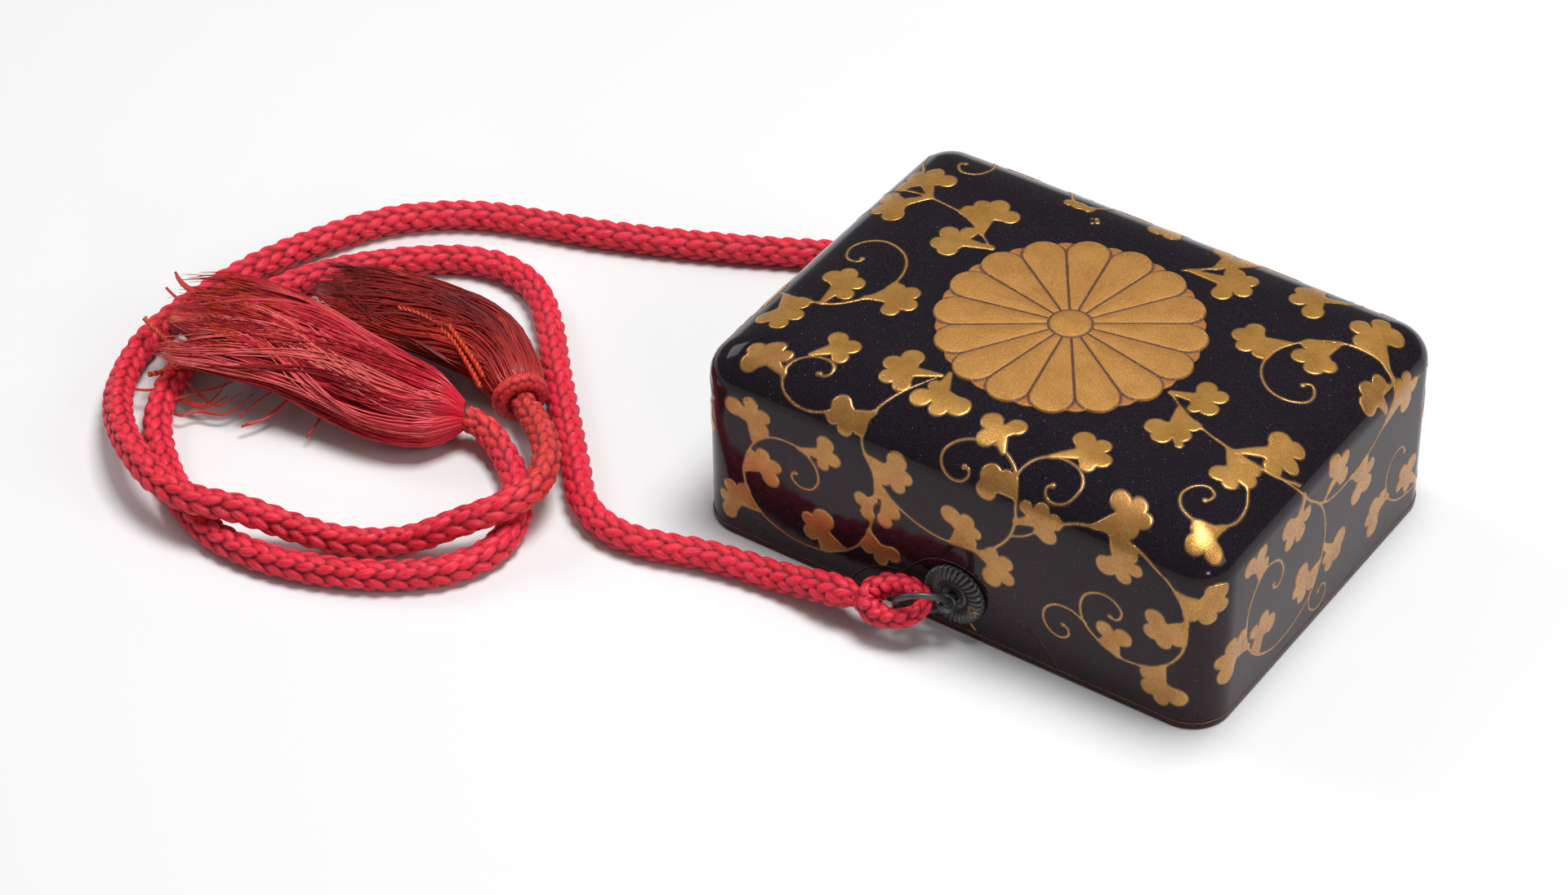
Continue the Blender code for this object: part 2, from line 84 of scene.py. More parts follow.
# Tongue, as in the part's source
TONGUE_X = 2.0 * MM
TONGUE_MARGIN = 0.2 * MM
ARCH_RADIUS = 11.5 * MM
ARCH_TURN = math.radians(45)
INNER_CUSP_OUT = 12.1 * MM
INNER_CUSP_DROP = 7.7 * MM
OUTER_CUSP_OUT = 24.4 * MM
SHOULDER_BULGE = 2.0 * MM

# Chrysanthemum, as in the part's source
MEDALLION_RADIUS = 28.0 * MM
MEDALLION_RISE = 0.6 * MM
BUTTON_RADIUS = 4.4 * MM
BUTTON_RISE = 0.8 * MM
PETALS = 16

# Cords and their eyes, as in the part's source
CORD_DIAMETER = 6.4 * MM
EYE_STRAND = 3.2 * MM
EYE_HALF_LENGTH = 5.8 * MM
EYE_HALF_WIDTH = 3.5 * MM
EYE_FROM_STAPLE = 4.6 * MM
EYE_RUN = Vector((-0.95, -0.27, -0.16)).normalized()

# Routes of the cords from their eyes, as in the part's source: x, y and z in millimetres
FRONT_ROUTE = [
    (-18.5, -54.9, 7.1), (-23.5, -54.8, 5.9), (-29.6, -54.6, 4.3), (-36.5, -55.0, 3.3),
    (-44.0, -56.0, 3.3), (-52.6, -58.0, 3.3), (-61.5, -60.8, 3.3), (-69.2, -61.8, 3.3),
    (-76.0, -60.2, 3.3), (-82.2, -56.4, 3.3), (-87.8, -50.3, 3.3), (-93.8, -44.0, 3.3),
    (-100.4, -37.0, 3.3), (-107.3, -29.8, 3.3), (-114.5, -22.0, 3.3), (-123.0, -12.8, 3.3),
    (-131.0, -6.3, 3.3), (-140.5, -3.6, 3.3), (-150.5, -5.8, 3.3), (-161.0, -13.2, 3.3),
    (-169.6, -22.0, 3.3), (-175.8, -31.5, 3.3), (-179.6, -43.0, 3.3), (-180.8, -55.0, 3.3),
    (-178.8, -68.0, 3.3), (-174.5, -80.5, 3.3), (-167.5, -90.0, 3.3), (-158.0, -97.8, 3.3),
    (-147.5, -104.3, 3.3), (-136.5, -107.8, 3.3), (-123.5, -107.3, 3.3), (-110.5, -103.3, 3.3),
    (-99.0, -97.0, 3.3), (-90.6, -88.8, 3.3), (-87.2, -78.5, 3.3), (-90.0, -68.0, 3.3),
    (-97.2, -59.3, 3.3), (-104.6, -54.0, 3.8), (-110.6, -51.8, 5.4), (-115.0, -52.6, 7.0),
]
BACK_ROUTE = [
    (-18.5, 54.9, 7.1), (-24.0, 55.0, 5.8), (-30.5, 55.4, 4.3), (-38.0, 56.0, 3.3),
    (-47.0, 56.4, 3.3), (-57.0, 54.9, 3.3), (-67.0, 51.0, 3.3), (-77.0, 45.0, 3.3),
    (-86.5, 39.0, 3.3), (-97.0, 33.4, 3.3), (-109.0, 27.6, 3.3), (-121.5, 22.0, 3.3),
    (-134.0, 17.2, 3.3), (-146.0, 13.4, 3.3), (-156.6, 9.4, 3.3), (-166.5, 3.0, 3.3),
    (-175.0, -6.2, 3.3), (-181.8, -18.5, 3.3), (-186.8, -31.0, 3.3), (-189.6, -44.0, 3.3),
    (-191.0, -57.5, 3.3), (-189.6, -70.0, 3.5), (-183.8, -82.5, 5.2), (-174.8, -93.4, 8.0),
    (-163.8, -101.8, 10.1), (-152.5, -106.6, 10.1), (-142.5, -107.2, 10.2), (-133.2, -103.6, 9.4),
    (-123.5, -99.0, 5.8), (-113.6, -94.4, 3.6), (-103.8, -88.0, 3.8), (-95.6, -81.8, 7.6),
    (-88.8, -74.4, 10.2), (-87.0, -65.8, 10.1), (-90.2, -57.2, 10.0), (-96.8, -49.6, 8.4),
    (-103.4, -44.4, 6.8), (-108.6, -41.2, 6.6),
]

# Tassels from neck to tips: x, y, z, width and height in millimetres, looser than their solids
FRONT_TASSEL = [
    (-118.4, -54.4, 7.4, 12.0, 12.0), (-122.6, -56.2, 7.8, 18.0, 14.2), (-130.4, -57.2, 8.2, 21.5, 14.0),
    (-142.6, -57.4, 9.6, 22.5, 12.0), (-156.0, -58.0, 11.4, 26.0, 9.0), (-168.0, -60.0, 12.2, 29.0, 8.0),
    (-177.6, -62.6, 12.4, 30.0, 7.4), (-184.0, -64.8, 12.2, 27.0, 6.0),
]
BACK_TASSEL = [
    (-111.6, -39.0, 7.0, 11.0, 11.0), (-114.4, -36.8, 7.2, 12.6, 12.0), (-118.4, -34.6, 7.6, 13.6, 12.0),
    (-124.6, -32.6, 8.6, 17.0, 12.0), (-134.0, -32.6, 9.6, 19.0, 10.0), (-146.0, -34.2, 10.0, 20.0, 8.0),
    (-157.0, -36.6, 10.0, 20.0, 7.4), (-165.6, -38.4, 10.0, 18.0, 6.0),
]
NECK_DIAMETER = 6.0 * MM

# Facets of tray and lid, and steps between two points of a curve
CORNER_STEPS = 20
SIDE_STEPS = 16
FOOT_STEPS = 4
EDGE_STEPS = 22
ARC_STEPS = 24
HOLE_SIDES = 32
TOP_SHARES = (0.88, 0.76, 0.64, 0.52, 0.4)
LACQUER_SHARP = math.radians(28)
SPLINE_STEPS = 16

# Worn edges at the joints between lid and tray, with a painted highlight along them
JOINT_OUT_MM = 0.01
JOINT_STEP_MM = 0.5
NOTCH_LINE_MM = 0.075
FOOT_LINE_MM = 0.11
LINE_SIDES = 6

FRONT_FACE = BOX_WIDTH / 2
WALL_TOP = BOX_HEIGHT - TOP_CROWN / 2 - EDGE_ROUND_DOWN
TRAY_TOP = WALL_TOP - TRAY_BELOW_ROUND
TRAY_INSET = LID_WALL + FIT_GAP
HOLLOW_INSET = TRAY_INSET + TRAY_WALL
TONGUE_TOP = FITTING_Z + PLATE_DIAMETER / 2 + TONGUE_MARGIN
STAPLE_REACH = FRONT_FACE + 2 * FIT_GAP + PLATE_CENTRE + STAPLE_EYE_RADIUS + STAPLE_WIRE / 2
RISE = Vector((0, 0, 1))


# Node trees

# Where the lacquer is worn, or redder with a painted tint of the floor's reflection low on the walls: heights
# above the floor, or distances from the middle
REFLECTION_TINT_FADES = (30 * MM, 38 * MM)
FOOT_WEAR = (0.6 * MM, 3.4 * MM)
END_WEAR = (53.5 * MM, 60 * MM)
SIDE_WEAR = (38.5 * MM, 44.5 * MM)

GOLD_GRAIN = 0.30 * MM


class Finish:
    """One material, with short calls for the nodes that feed its shader."""

    def __init__(self, name, **sockets):
        self.material = bpy.data.materials.new(name)
        self.material.use_nodes = True
        self.tree = self.material.node_tree
        self.shader = self.tree.nodes["Principled BSDF"]
        self.feed(self.shader, sockets)
        self.place = self.add("TexCoord").outputs["Object"]

    def feed(self, node, sockets):
        """Set or link inputs, named with underscores for spaces, or by number as n0."""
        for key, value in sockets.items():
            socket = node.inputs[int(key[1:])] if key[1:].isdigit() else node.inputs[key.replace("_", " ")]
            if isinstance(value, bpy.types.NodeSocket):
                self.tree.links.new(value, socket)
            else:
                socket.default_value = value

    def add(self, kind, settings=None, **sockets):
        node = self.tree.nodes.new("ShaderNode" + kind)
        for key, value in (settings or {}).items():
            setattr(node, key, value)
        self.feed(node, sockets)
        return node

    def math(self, operation, first, second=0.0):
        return self.add("Math", {"operation": operation}, n0=first, n1=second).outputs[0]

    def spread(self, value, low, high, bottom=0.0, top=1.0):
        """A value from low to high, spread over bottom to top and held there beyond."""
        node = self.add("MapRange", {"clamp": True}, Value=value)
        self.feed(node, {"From_Min": low, "From_Max": high, "To_Min": bottom, "To_Max": top})
        return node.outputs[0]

    def mix(self, share, first, second):
        node = self.add("Mix", {"data_type": "RGBA"}, n0=share, n6=first, n7=second)
        return node.outputs[2]

    def tint(self, colour, other, value, low, high, bottom=0.0, top=1.0):
        """A colour that turns towards another as a value goes from low to high."""
        return self.mix(self.spread(value, low, high, bottom, top), colour, rgb(*other))

    def noise(self, size, detail=3.0, rough=0.55, place=None):
        """Noise whose features are about that size, in metres, or in the units of a given place."""
        settings = {"Vector": place or self.place, "Scale": 1 / size, "Detail": detail, "Roughness": rough}
        return self.add("TexNoise", **settings).outputs[0]

    def stretched(self, scales, place=None):
        return self.add("Mapping", Vector=place or self.place, Scale=scales).outputs[0]

    def attribute(self, name, output="Fac"):
        return self.add("Attribute", {"attribute_name": name}).outputs[output]

    def bump(self, height, depth, strength=1.0, under=None):
        node = self.add("Bump", Height=height, Distance=depth, Strength=strength)
        if under is not None:
            self.feed(node, {"Normal": under})
        return node.outputs[0]

    def done(self, colour, roughness=None, normal=None):
        """The material, with what feeds its colour, and its roughness and normal where they vary."""
        inputs = {"Base_Color": colour, "Roughness": roughness, "Normal": normal}
        self.feed(self.shader, {key: value for key, value in inputs.items() if value is not None})
        return self.material


def rgb(red, green, blue):
    return (red, green, blue, 1.0)


def make_lacquer():
    """Black lacquer, redder low on the walls with a painted tint of the floor's reflection and redder where
    it is worn, under fine dust mixed with a painted bluish haze, and specks.
    """
    finish = Finish("black_lacquer", IOR=1.30, Specular_Tint=rgb(1.0, 0.88, 0.91))
    x, y, z = finish.add("SeparateXYZ", Vector=finish.place).outputs
    cloud = finish.noise(14 * MM, 4)
    colour = finish.mix(cloud, rgb(0.0046, 0.0034, 0.0050), rgb(0.0100, 0.0066, 0.0095))
    # Redder low on the walls: a painted purplish tint that stands in for the floor's reflection there
    colour = finish.tint(colour, (0.017, 0.0062, 0.0095), z, *REFLECTION_TINT_FADES, 0.75, 0.0)
    grain = finish.noise(2.2 * MM, 5, 0.7)
    foot = finish.spread(z, *FOOT_WEAR, 1.0, 0.0)
    along = finish.spread(finish.math("ABSOLUTE", x), *END_WEAR)
    across = finish.spread(finish.math("ABSOLUTE", y), *SIDE_WEAR)
    corner = finish.math("MULTIPLY", finish.math("MULTIPLY", along, across), 0.3)
    worn = finish.math("MAXIMUM", foot, corner)
    worn = finish.math("MULTIPLY", worn, finish.spread(grain, 0.40, 0.66, 0.12, 1.0))
    colour = finish.mix(worn, colour, rgb(0.070, 0.014, 0.012))
    # Fine bluish speckle: partly dust, partly a painted bluish haze that stands in for reflected light on the
    # lacquer
    fine = finish.spread(finish.noise(0.26 * MM, 3, 0.8), 0.50, 0.72, 0.0, 0.34)
    colour = finish.mix(fine, colour, rgb(0.07, 0.07, 0.09))
    specks = 0.0
    for cell, rarity, reach in ((0.95 * MM, 7.0, 0.12), (0.45 * MM, 14.0, 0.24)):
        # A cell's random value, raised to a power, sizes the speck round its point: most are hardly there
        cells = finish.add("TexVoronoi", Vector=finish.place, Scale=1 / cell)
        pick = finish.add("SeparateXYZ", Vector=cells.outputs["Color"])
        size = finish.math("MULTIPLY", finish.math("POWER", pick.outputs[0], rarity), reach)
        speck = finish.math("GREATER_THAN", size, cells.outputs["Distance"])
        reddish = finish.spread(pick.outputs[1], 0.50, 0.60)
        dust = finish.mix(reddish, rgb(0.19, 0.18, 0.20), rgb(0.18, 0.03, 0.035))
        colour = finish.mix(finish.math("MULTIPLY", speck, 0.8), colour, dust)
        specks = finish.math("MAXIMUM", specks, speck)
    smear = finish.noise(9 * MM, 5, 0.65, finish.stretched((1.0, 0.35, 1.0)))
    roughness = finish.spread(smear, 0.3, 0.75, 0.075, 0.17)
    dull = finish.math("MULTIPLY", finish.math("MAXIMUM", worn, specks), 0.3)
    roughness = finish.math("ADD", roughness, dull)
    ripple = finish.bump(finish.noise(5 * MM, 2), 0.02 * MM, 0.6)
    return finish.done(colour, roughness, ripple)


def powdered(finish, colour, pitted, pit, glint):
    """A grain of gold powder, and a colour with dark pits where it is low and a painted glint of light on the
    grains where it is high.
    """
    grain = finish.noise(GOLD_GRAIN, 3, 0.8)
    colour = finish.tint(colour, pit, grain, 0.34, 0.52, pitted, 0.0)
    # The glint colour is a painted sparkle of light on the high grains
    return grain, finish.tint(colour, glint, grain, 0.56, 0.70, 0.0, 0.5)


def make_gold(name, light, dark, metallic, roughness, sparkle):
    finish = Finish(name, Metallic=metallic)
    cloud = finish.noise(5 * MM, 4, 0.6)
    colour = finish.mix(finish.spread(cloud, 0.35, 0.68), rgb(*dark), rgb(*light))
    grain, colour = powdered(finish, colour, 0.62, (0.13, 0.055, 0.012), (0.80, 0.50, 0.17))
    rough = finish.spread(grain, 0.3, 0.7, roughness + 0.12, roughness - 0.08)
    return finish.done(colour, rough, finish.bump(grain, sparkle, 1.0))


# A brown line round the gold: partly its own colour, partly a painted shade where the raised gold's edge
# falls off to the lacquer
def make_outline():
    finish = Finish("outline_brown_and_shade", Roughness=0.38)
    cloud = finish.noise(1.2 * MM, 3)
    return finish.done(finish.mix(cloud, rgb(0.016, 0.007, 0.005), rgb(0.060, 0.026, 0.014)))


def make_medallion_gold():
    """Brushed gold with dark engraved lines, duller on the second layer of petals."""
    finish = Finish("medallion_gold", Metallic=0.5)
    brush = finish.attribute("brush", "Vector")
    streak = finish.noise(1.0, 5, 0.72, finish.stretched((0.35, 2.6, 1.0), brush))
    cloud = finish.noise(6 * MM, 4, 0.6)
    colour = finish.mix(finish.spread(cloud, 0.32, 0.7), rgb(0.37, 0.158, 0.026), rgb(0.47, 0.222, 0.045))
    colour = finish.tint(colour, (0.66, 0.36, 0.10), streak, 0.42, 0.64, 0.0, 0.22)
    colour = finish.mix(finish.attribute("under"), colour, rgb(0.40, 0.150, 0.026))
    groove = finish.attribute("groove")
    colour = finish.tint(colour, (0.085, 0.040, 0.038), groove, 0.0, 0.55)
    colour = finish.tint(colour, (0.17, 0.105, 0.105), groove, 0.7, 1.0, 0.0, 0.6)
    grain, colour = powdered(finish, colour, 0.6, (0.15, 0.062, 0.014), (0.82, 0.50, 0.17))
    rough = finish.spread(grain, 0.3, 0.7, 0.44, 0.30)
    rough = finish.math("ADD", rough, finish.math("MULTIPLY", groove, 0.3))
    relief = finish.bump(streak, 0.03 * MM, 0.5, finish.bump(grain, 0.13 * MM, 1.0))
    return finish.done(colour, rough, relief)


def make_dark_metal():
    finish = Finish("dark_patina", Metallic=0.7)
    cloud = finish.noise(1.6 * MM, 5, 0.65)
    colour = finish.mix(cloud, rgb(0.032, 0.030, 0.033), rgb(0.13, 0.125, 0.13))
    patches = finish.spread(finish.noise(0.7 * MM, 4), 0.42, 0.62)
    # Brassy where the metal is worn, and a painted glint on the plate's flute crests
    rubbed_and_glinting = finish.math("MULTIPLY", finish.attribute("wear_and_glint"), patches)
    colour = finish.mix(rubbed_and_glinting, colour, rgb(0.42, 0.27, 0.12))
    rough = finish.spread(cloud, 0.3, 0.7, 0.50, 0.32)
    return finish.done(colour, rough, finish.bump(finish.noise(0.5 * MM, 4, 0.6), 0.05 * MM, 0.5))


def make_silk(name, crimson, shadow, faded, light):
    """Braided silk: a painted shadow in the grooves, a painted sheen on lighter fibres, a painted highlight
    on the crests, faded near the tassel.
    """
    finish = Finish(name, Sheen_Weight=0.10, Sheen_Roughness=0.35, Sheen_Tint=rgb(1.0, 0.45, 0.5), IOR=1.4)
    crest = finish.attribute("crest")
    lie = finish.stretched((0.35, 6.0, 3.1), finish.attribute("fibre", "Vector"))
    fibre = finish.noise(1.0, 2, 0.6, lie)
    cloud = finish.noise(7 * MM, 4, 0.6)
    body = finish.mix(finish.spread(cloud, 0.3, 0.7), rgb(*crimson), rgb(*[0.80 * c for c in crimson]))
    body = finish.mix(finish.attribute("fade"), body, rgb(*faded))
    # Lighter fibres: thread texture with a painted sheen in the highlight colour
    body = finish.tint(body, light, fibre, 0.52, 0.70, 0.0, 0.55)
    # Painted highlight on the crests of the kernels
    body = finish.tint(body, light, crest, 0.86, 1.08, 0.0, 0.45)
    # Painted shadow in the grooves between the kernels
    colour = finish.mix(finish.spread(crest, 0.12, 0.62), rgb(*shadow), body)
    return finish.done(colour, finish.spread(fibre, 0.3, 0.7, 0.58, 0.40), finish.bump(fibre, 0.15 * MM, 0.9))


def make_threads(name, stops, neck=None, tips=None):
    """Loose silk threads, each with a shade of its own, and other colours towards the neck and the tips."""
    finish = Finish(name, Sheen_Weight=0.10, Sheen_Roughness=0.35, Sheen_Tint=rgb(1.0, 0.5, 0.5),
                    Roughness=0.38, IOR=1.42)
    ramp = finish.add("ValToRGB", Fac=finish.attribute("shade"))
    elements = ramp.color_ramp.elements
    for element, (position, colour) in zip(elements, (stops[0], stops[-1])):
        element.position, element.color = position, rgb(*colour)
    for position, colour in stops[1:-1]:
        elements.new(position).color = rgb(*colour)
    cloud = finish.noise(4 * MM, 3)
    dim = finish.spread(cloud, 0.35, 0.7, 0.0, 0.3)
    colour = finish.mix(dim, ramp.outputs[0], rgb(0.16, 0.004, 0.006))
    run = finish.attribute("run")
    if neck:
        colour = finish.tint(colour, neck, run, 0.06, 0.38, 0.62, 0.0)
    if tips:
        towards = finish.spread(run, 0.55, 0.9, 0.0, 0.8)
        patchy = finish.math("MULTIPLY", towards, finish.spread(cloud, 0.48, 0.62))
        colour = finish.mix(patchy, colour, rgb(*tips))
    return finish.done(colour)


LACQUER = make_lacquer()
# Two copies of one gold, for the top and for the walls, coloured apart to match how the light falls on each:
# painted light
GOLD_TOP = make_gold("gold_top_painted_light", (0.62, 0.320, 0.075), (0.48, 0.230, 0.046),
                     metallic=0.58, roughness=0.25, sparkle=0.05 * MM)
GOLD_WALL = make_gold("gold_walls_painted_light", (0.55, 0.272, 0.078), (0.42, 0.186, 0.047),
                      metallic=0.62, roughness=0.24, sparkle=0.03 * MM)
OUTLINE = make_outline()
MEDALLION_GOLD = make_medallion_gold()
DARK_METAL = make_dark_metal()
# Pale joint lines: worn lacquer, partly a painted highlight of the edges
JOINT_WEAR_AND_HIGHLIGHT = make_gold("worn_edge_and_highlight", (0.17, 0.095, 0.075), (0.06, 0.022, 0.018),
                      metallic=0.0, roughness=0.45, sparkle=0.05 * MM)
FRONT_SILK = make_silk("crimson_silk", crimson=(0.78, 0.008, 0.030), shadow=(0.24, 0.002, 0.012),
                       faded=(0.70, 0.030, 0.022), light=(0.92, 0.14, 0.24))
BACK_SILK = make_silk("faded_silk", crimson=(0.76, 0.009, 0.030), shadow=(0.22, 0.002, 0.011),
                      faded=(0.62, 0.034, 0.020), light=(0.90, 0.14, 0.22))
FRONT_THREADS = make_threads("pink_threads", [
    (0.0, (0.13, 0.002, 0.004)), (0.3, (0.33, 0.007, 0.014)), (0.55, (0.56, 0.014, 0.032)),
    (0.8, (0.72, 0.065, 0.085)), (1.0, (0.74, 0.17, 0.14)),
], neck=(0.80, 0.007, 0.040), tips=(0.50, 0.045, 0.006))
BACK_THREADS = make_threads("dark_red_threads", [
    (0.0, (0.09, 0.003, 0.002)), (0.4, (0.24, 0.007, 0.006)), (0.75, (0.40, 0.020, 0.014)),
    (1.0, (0.54, 0.050, 0.024)),
], neck=(0.56, 0.024, 0.020), tips=(0.14, 0.006, 0.002))
STRAY_THREADS = make_threads("stray_threads", [(0.0, (0.42, 0.012, 0.012)), (1.0, (0.62, 0.060, 0.030))])
ORANGE_THREADS = make_threads("orange_threads", [(0.0, (0.42, 0.020, 0.004)), (1.0, (0.66, 0.060, 0.006))])


# Meshes and objects

def finish_piece(obj, slot, *nodes):
    """Make a piece ride on the box and hide the imported parts it stands for; the record slot is not used."""
    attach(obj, BODY)
    if nodes:
        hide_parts(*nodes)
    return obj


def mesh_object(name, points, faces, material, attributes=None, smooth=True):
    """A mesh object from points in metres, with float or vector attributes on its points."""
    mesh = bpy.data.meshes.new(name)
    mesh.from_pydata([tuple(p) for p in points], [], [tuple(f) for f in faces])
    for key, values in (attributes or {}).items():
        values = np.asarray(values, dtype=np.float32)
        if values.ndim == 2:
            mesh.attributes.new(key, "FLOAT_VECTOR", "POINT").data.foreach_set("vector", values.ravel())
        else:
            mesh.attributes.new(key, "FLOAT", "POINT").data.foreach_set("value", values)
    mesh.materials.append(material)
    if smooth:
        mesh.shade_smooth()
    obj = bpy.data.objects.new(name, mesh)
    bpy.context.scene.collection.objects.link(obj)
    return obj


def join_meshes(meshes):
    """One list of points, faces and attributes from several."""
    points, faces, attributes, start = [], [], {}, 0
    for some_points, some_faces, some_attributes in meshes:
        points.append(np.asarray(some_points))
        faces.extend([[i + start for i in face] for face in some_faces])
        for key, values in some_attributes.items():
            attributes.setdefault(key, []).append(np.asarray(values))
        start += len(some_points)
    return np.concatenate(points), faces, {key: np.concatenate(values) for key, values in attributes.items()}


def joined_piece(name, meshes, material, slot, *nodes):
    """One finished piece from several meshes in millimetres."""
    points, faces, attributes = join_meshes(meshes)
    return finish_piece(mesh_object(name, points * MM, faces, material, attributes), slot, *nodes)


def path_frames(points, closed=False):
    """Direction and two cross directions at each point of a path, turning as little as can be."""
    points = np.asarray(points, float)
    if closed:
        along = np.roll(points, -1, 0) - np.roll(points, 1, 0)
    else:
        along = np.gradient(points, axis=0)
    along /= np.linalg.norm(along, axis=1)[:, None]
    first = np.cross(along[0], (0, 0, 1.0))
    if np.linalg.norm(first) < 0.1:
        first = np.cross(along[0], (0, 1.0, 0))
    side = np.zeros_like(points)
    side[0] = first / np.linalg.norm(first)
    for i in range(1, len(points)):
        here = side[i - 1] - along[i] * (side[i - 1] @ along[i])
        side[i] = here / np.linalg.norm(here)
    if closed:
        last = side[-1] - along[0] * (side[-1] @ along[0])
        slip = math.atan2(np.cross(last, side[0]) @ along[0], last @ side[0])
        turns = slip * np.arange(len(points)) / len(points)
        other = np.cross(along, side)
        side = side * np.cos(turns)[:, None] + other * np.sin(turns)[:, None]
    return along, side, np.cross(along, side)


def sweep(points, radii, sides, closed=False, caps=True):
    """Tube round a path. Radii is one number, one for each point, or one for each point and side."""
    points = np.asarray(points, float)
    count = len(points)
    if np.ndim(radii) == 1:
        radii = np.asarray(radii, float).reshape(-1, 1)
    radii = np.broadcast_to(radii, (count, sides))
    _, side, up = path_frames(points, closed)
    turns = 2 * math.pi * np.arange(sides) / sides
    ring = side[:, None] * np.cos(turns)[None, :, None] + up[:, None] * np.sin(turns)[None, :, None]
    verts = (points[:, None] + ring * radii[..., None]).reshape(-1, 3)
    faces = grid_faces(count, sides, closed, True)
    if caps and not closed:
        faces.append(list(range(sides))[::-1])
        faces.append(list(range((count - 1) * sides, count * sides)))
    return verts, faces


def grid_faces(rows, columns, close_rows=False, close_columns=False):
    faces = []
    for i in range(rows if close_rows else rows - 1):
        here, there = i * columns, (i + 1) % rows * columns
        for k in range(columns if close_columns else columns - 1):
            after = (k + 1) % columns
            faces.append([here + k, here + after, there + after, there + k])
    return faces


def spline_mm(points, step):
    """Evenly spaced points on a smooth curve through the given ones, of any number of columns."""
    points = np.asarray(points, float)
    padded = np.vstack([points[:1], points, points[-1:]])
    shares = np.linspace(0, 1, SPLINE_STEPS, endpoint=False)[:, None]
    fine = []
    for before, start, end, after in zip(padded, padded[1:], padded[2:], padded[3:]):
        fine.append(0.5 * (2 * start + (end - before) * shares
                           + (2 * before - 5 * start + 4 * end - after) * shares ** 2
                           + (3 * start - before - 3 * end + after) * shares ** 3))
    fine = np.vstack(fine + [points[-1:]])
    gone = np.concatenate([[0], np.cumsum(np.linalg.norm(np.diff(fine, axis=0), axis=1))])
    count = max(round(gone[-1] / step), 1) + 1
    even = np.linspace(0, gone[-1], count)
    return np.stack([np.interp(even, gone, fine[:, k]) for k in range(fine.shape[1])], 1)


# Tray and lid, built as in the part's source with finer facets

def loft_object(name, rings, first_cap=True):
    """A body through rings of points that all have the same count, closed at its ends."""
    bm = bmesh.new()
    rows = [[bm.verts.new(point) for point in ring] for ring in rings]
    count = len(rows[0])
    for low, high in zip(rows, rows[1:]):
        for i in range(count):
            j = (i + 1) % count
            bm.faces.new((low[i], low[j], high[j], high[i]))
    if first_cap:
        bm.faces.new(rows[0])
    bm.faces.new(rows[-1])
    bmesh.ops.recalc_face_normals(bm, faces=bm.faces)
    mesh = bpy.data.meshes.new(name)
    bm.to_mesh(mesh)
    bm.free()
    obj = bpy.data.objects.new(name, mesh)
    bpy.context.scene.collection.objects.link(obj)
    return obj


def bake(obj):
    graph = bpy.context.evaluated_depsgraph_get()
    mesh = bpy.data.meshes.new_from_object(obj.evaluated_get(graph))
    obj.modifiers.clear()
    obj.data = mesh


def combine(obj, other, operation):
    modifier = obj.modifiers.new(operation.lower(), "BOOLEAN")
    modifier.object = other
    modifier.operation = operation
    modifier.solver = "EXACT"
    bake(obj)
    bpy.data.objects.remove(other, do_unlink=True)


def rounded_rectangle(inset, radius):
    """Points of the box's outline, set in and with round corners, anticlockwise from the right side."""
    def on_corner(corner, quarters):
        sx, sy = ((1, 1), (-1, 1), (-1, -1), (1, -1))[corner % 4]
        turn = math.pi / 2 * quarters
        return Vector((sx * (BOX_LENGTH / 2 - inset - radius) + radius * math.cos(turn),
                       sy * (BOX_WIDTH / 2 - inset - radius) + radius * math.sin(turn), 0))

    points = []
    for corner in range(4):
        points += [on_corner(corner, corner + step / CORNER_STEPS) for step in range(CORNER_STEPS + 1)]
        last, ahead = points[-1], on_corner(corner + 1, corner + 1)
        points += [last.lerp(ahead, k / SIDE_STEPS) for k in range(1, SIDE_STEPS)]
    return points


def prism(name, inset, bottom, top):
    outline = rounded_rectangle(inset, CORNER_RADIUS - inset)
    return loft_object(name, [[point + RISE * z for point in outline] for z in (bottom, top)])


def tongue_outline(gap):
    """The bracket that rises round the fitting, widened by a gap: x and z of an arch over two shoulders."""
    half = []
    for step in range(ARC_STEPS + 1):
        turn = ARCH_TURN * step / ARC_STEPS
        half.append(Vector((math.sin(turn), math.cos(turn) - 1)) * ARCH_RADIUS + Vector((0, TONGUE_TOP)))
    start = Vector((INNER_CUSP_OUT, TONGUE_TOP - INNER_CUSP_DROP))
    end = Vector((OUTER_CUSP_OUT, BASE_STRIP))
    chord = end - start
    outward = Vector((-chord.y, chord.x)).normalized()
    for step in range(ARC_STEPS + 1):
        share = step / ARC_STEPS
        half.append(start + chord * share + outward * SHOULDER_BULGE * 4 * share * (1 - share))
    points = [Vector((-p.x, p.y)) for p in reversed(half[1:])] + half
    outline = []
    for i, point in enumerate(points):
        before = points[max(i - 1, 0)]
        after = points[min(i + 1, len(points) - 1)]
        along = (after - before).normalized()
        outline.append(point + Vector((-along.y, along.x)) * gap)
    return [(TONGUE_X + p.x, p.y) for p in outline]


def tongue_block(name, gap, side, inner, outer, bottom):
    outline = tongue_outline(gap)
    outline.append((outline[-1][0], bottom))
    outline.append((outline[0][0], bottom))
    return loft_object(name, [[Vector((x, side * y, z)) for x, z in outline] for y in (inner, outer)])


def cylinder_along_y(name, radius, start, end):
    turns = [2 * math.pi * i / HOLE_SIDES for i in range(HOLE_SIDES)]
    rim = [(FITTING_X + radius * math.cos(turn), FITTING_Z + radius * math.sin(turn)) for turn in turns]
    return loft_object(name, [[Vector((x, y, z)) for x, z in rim] for y in (start, end)])


def corner_at(inset):
    """Radius of the lid's corners where its edge is rounded in that far."""
    rest = CORNER_RADIUS - inset
    return (rest + math.hypot(rest, 2 * CORNER_SOFTNESS)) / 2


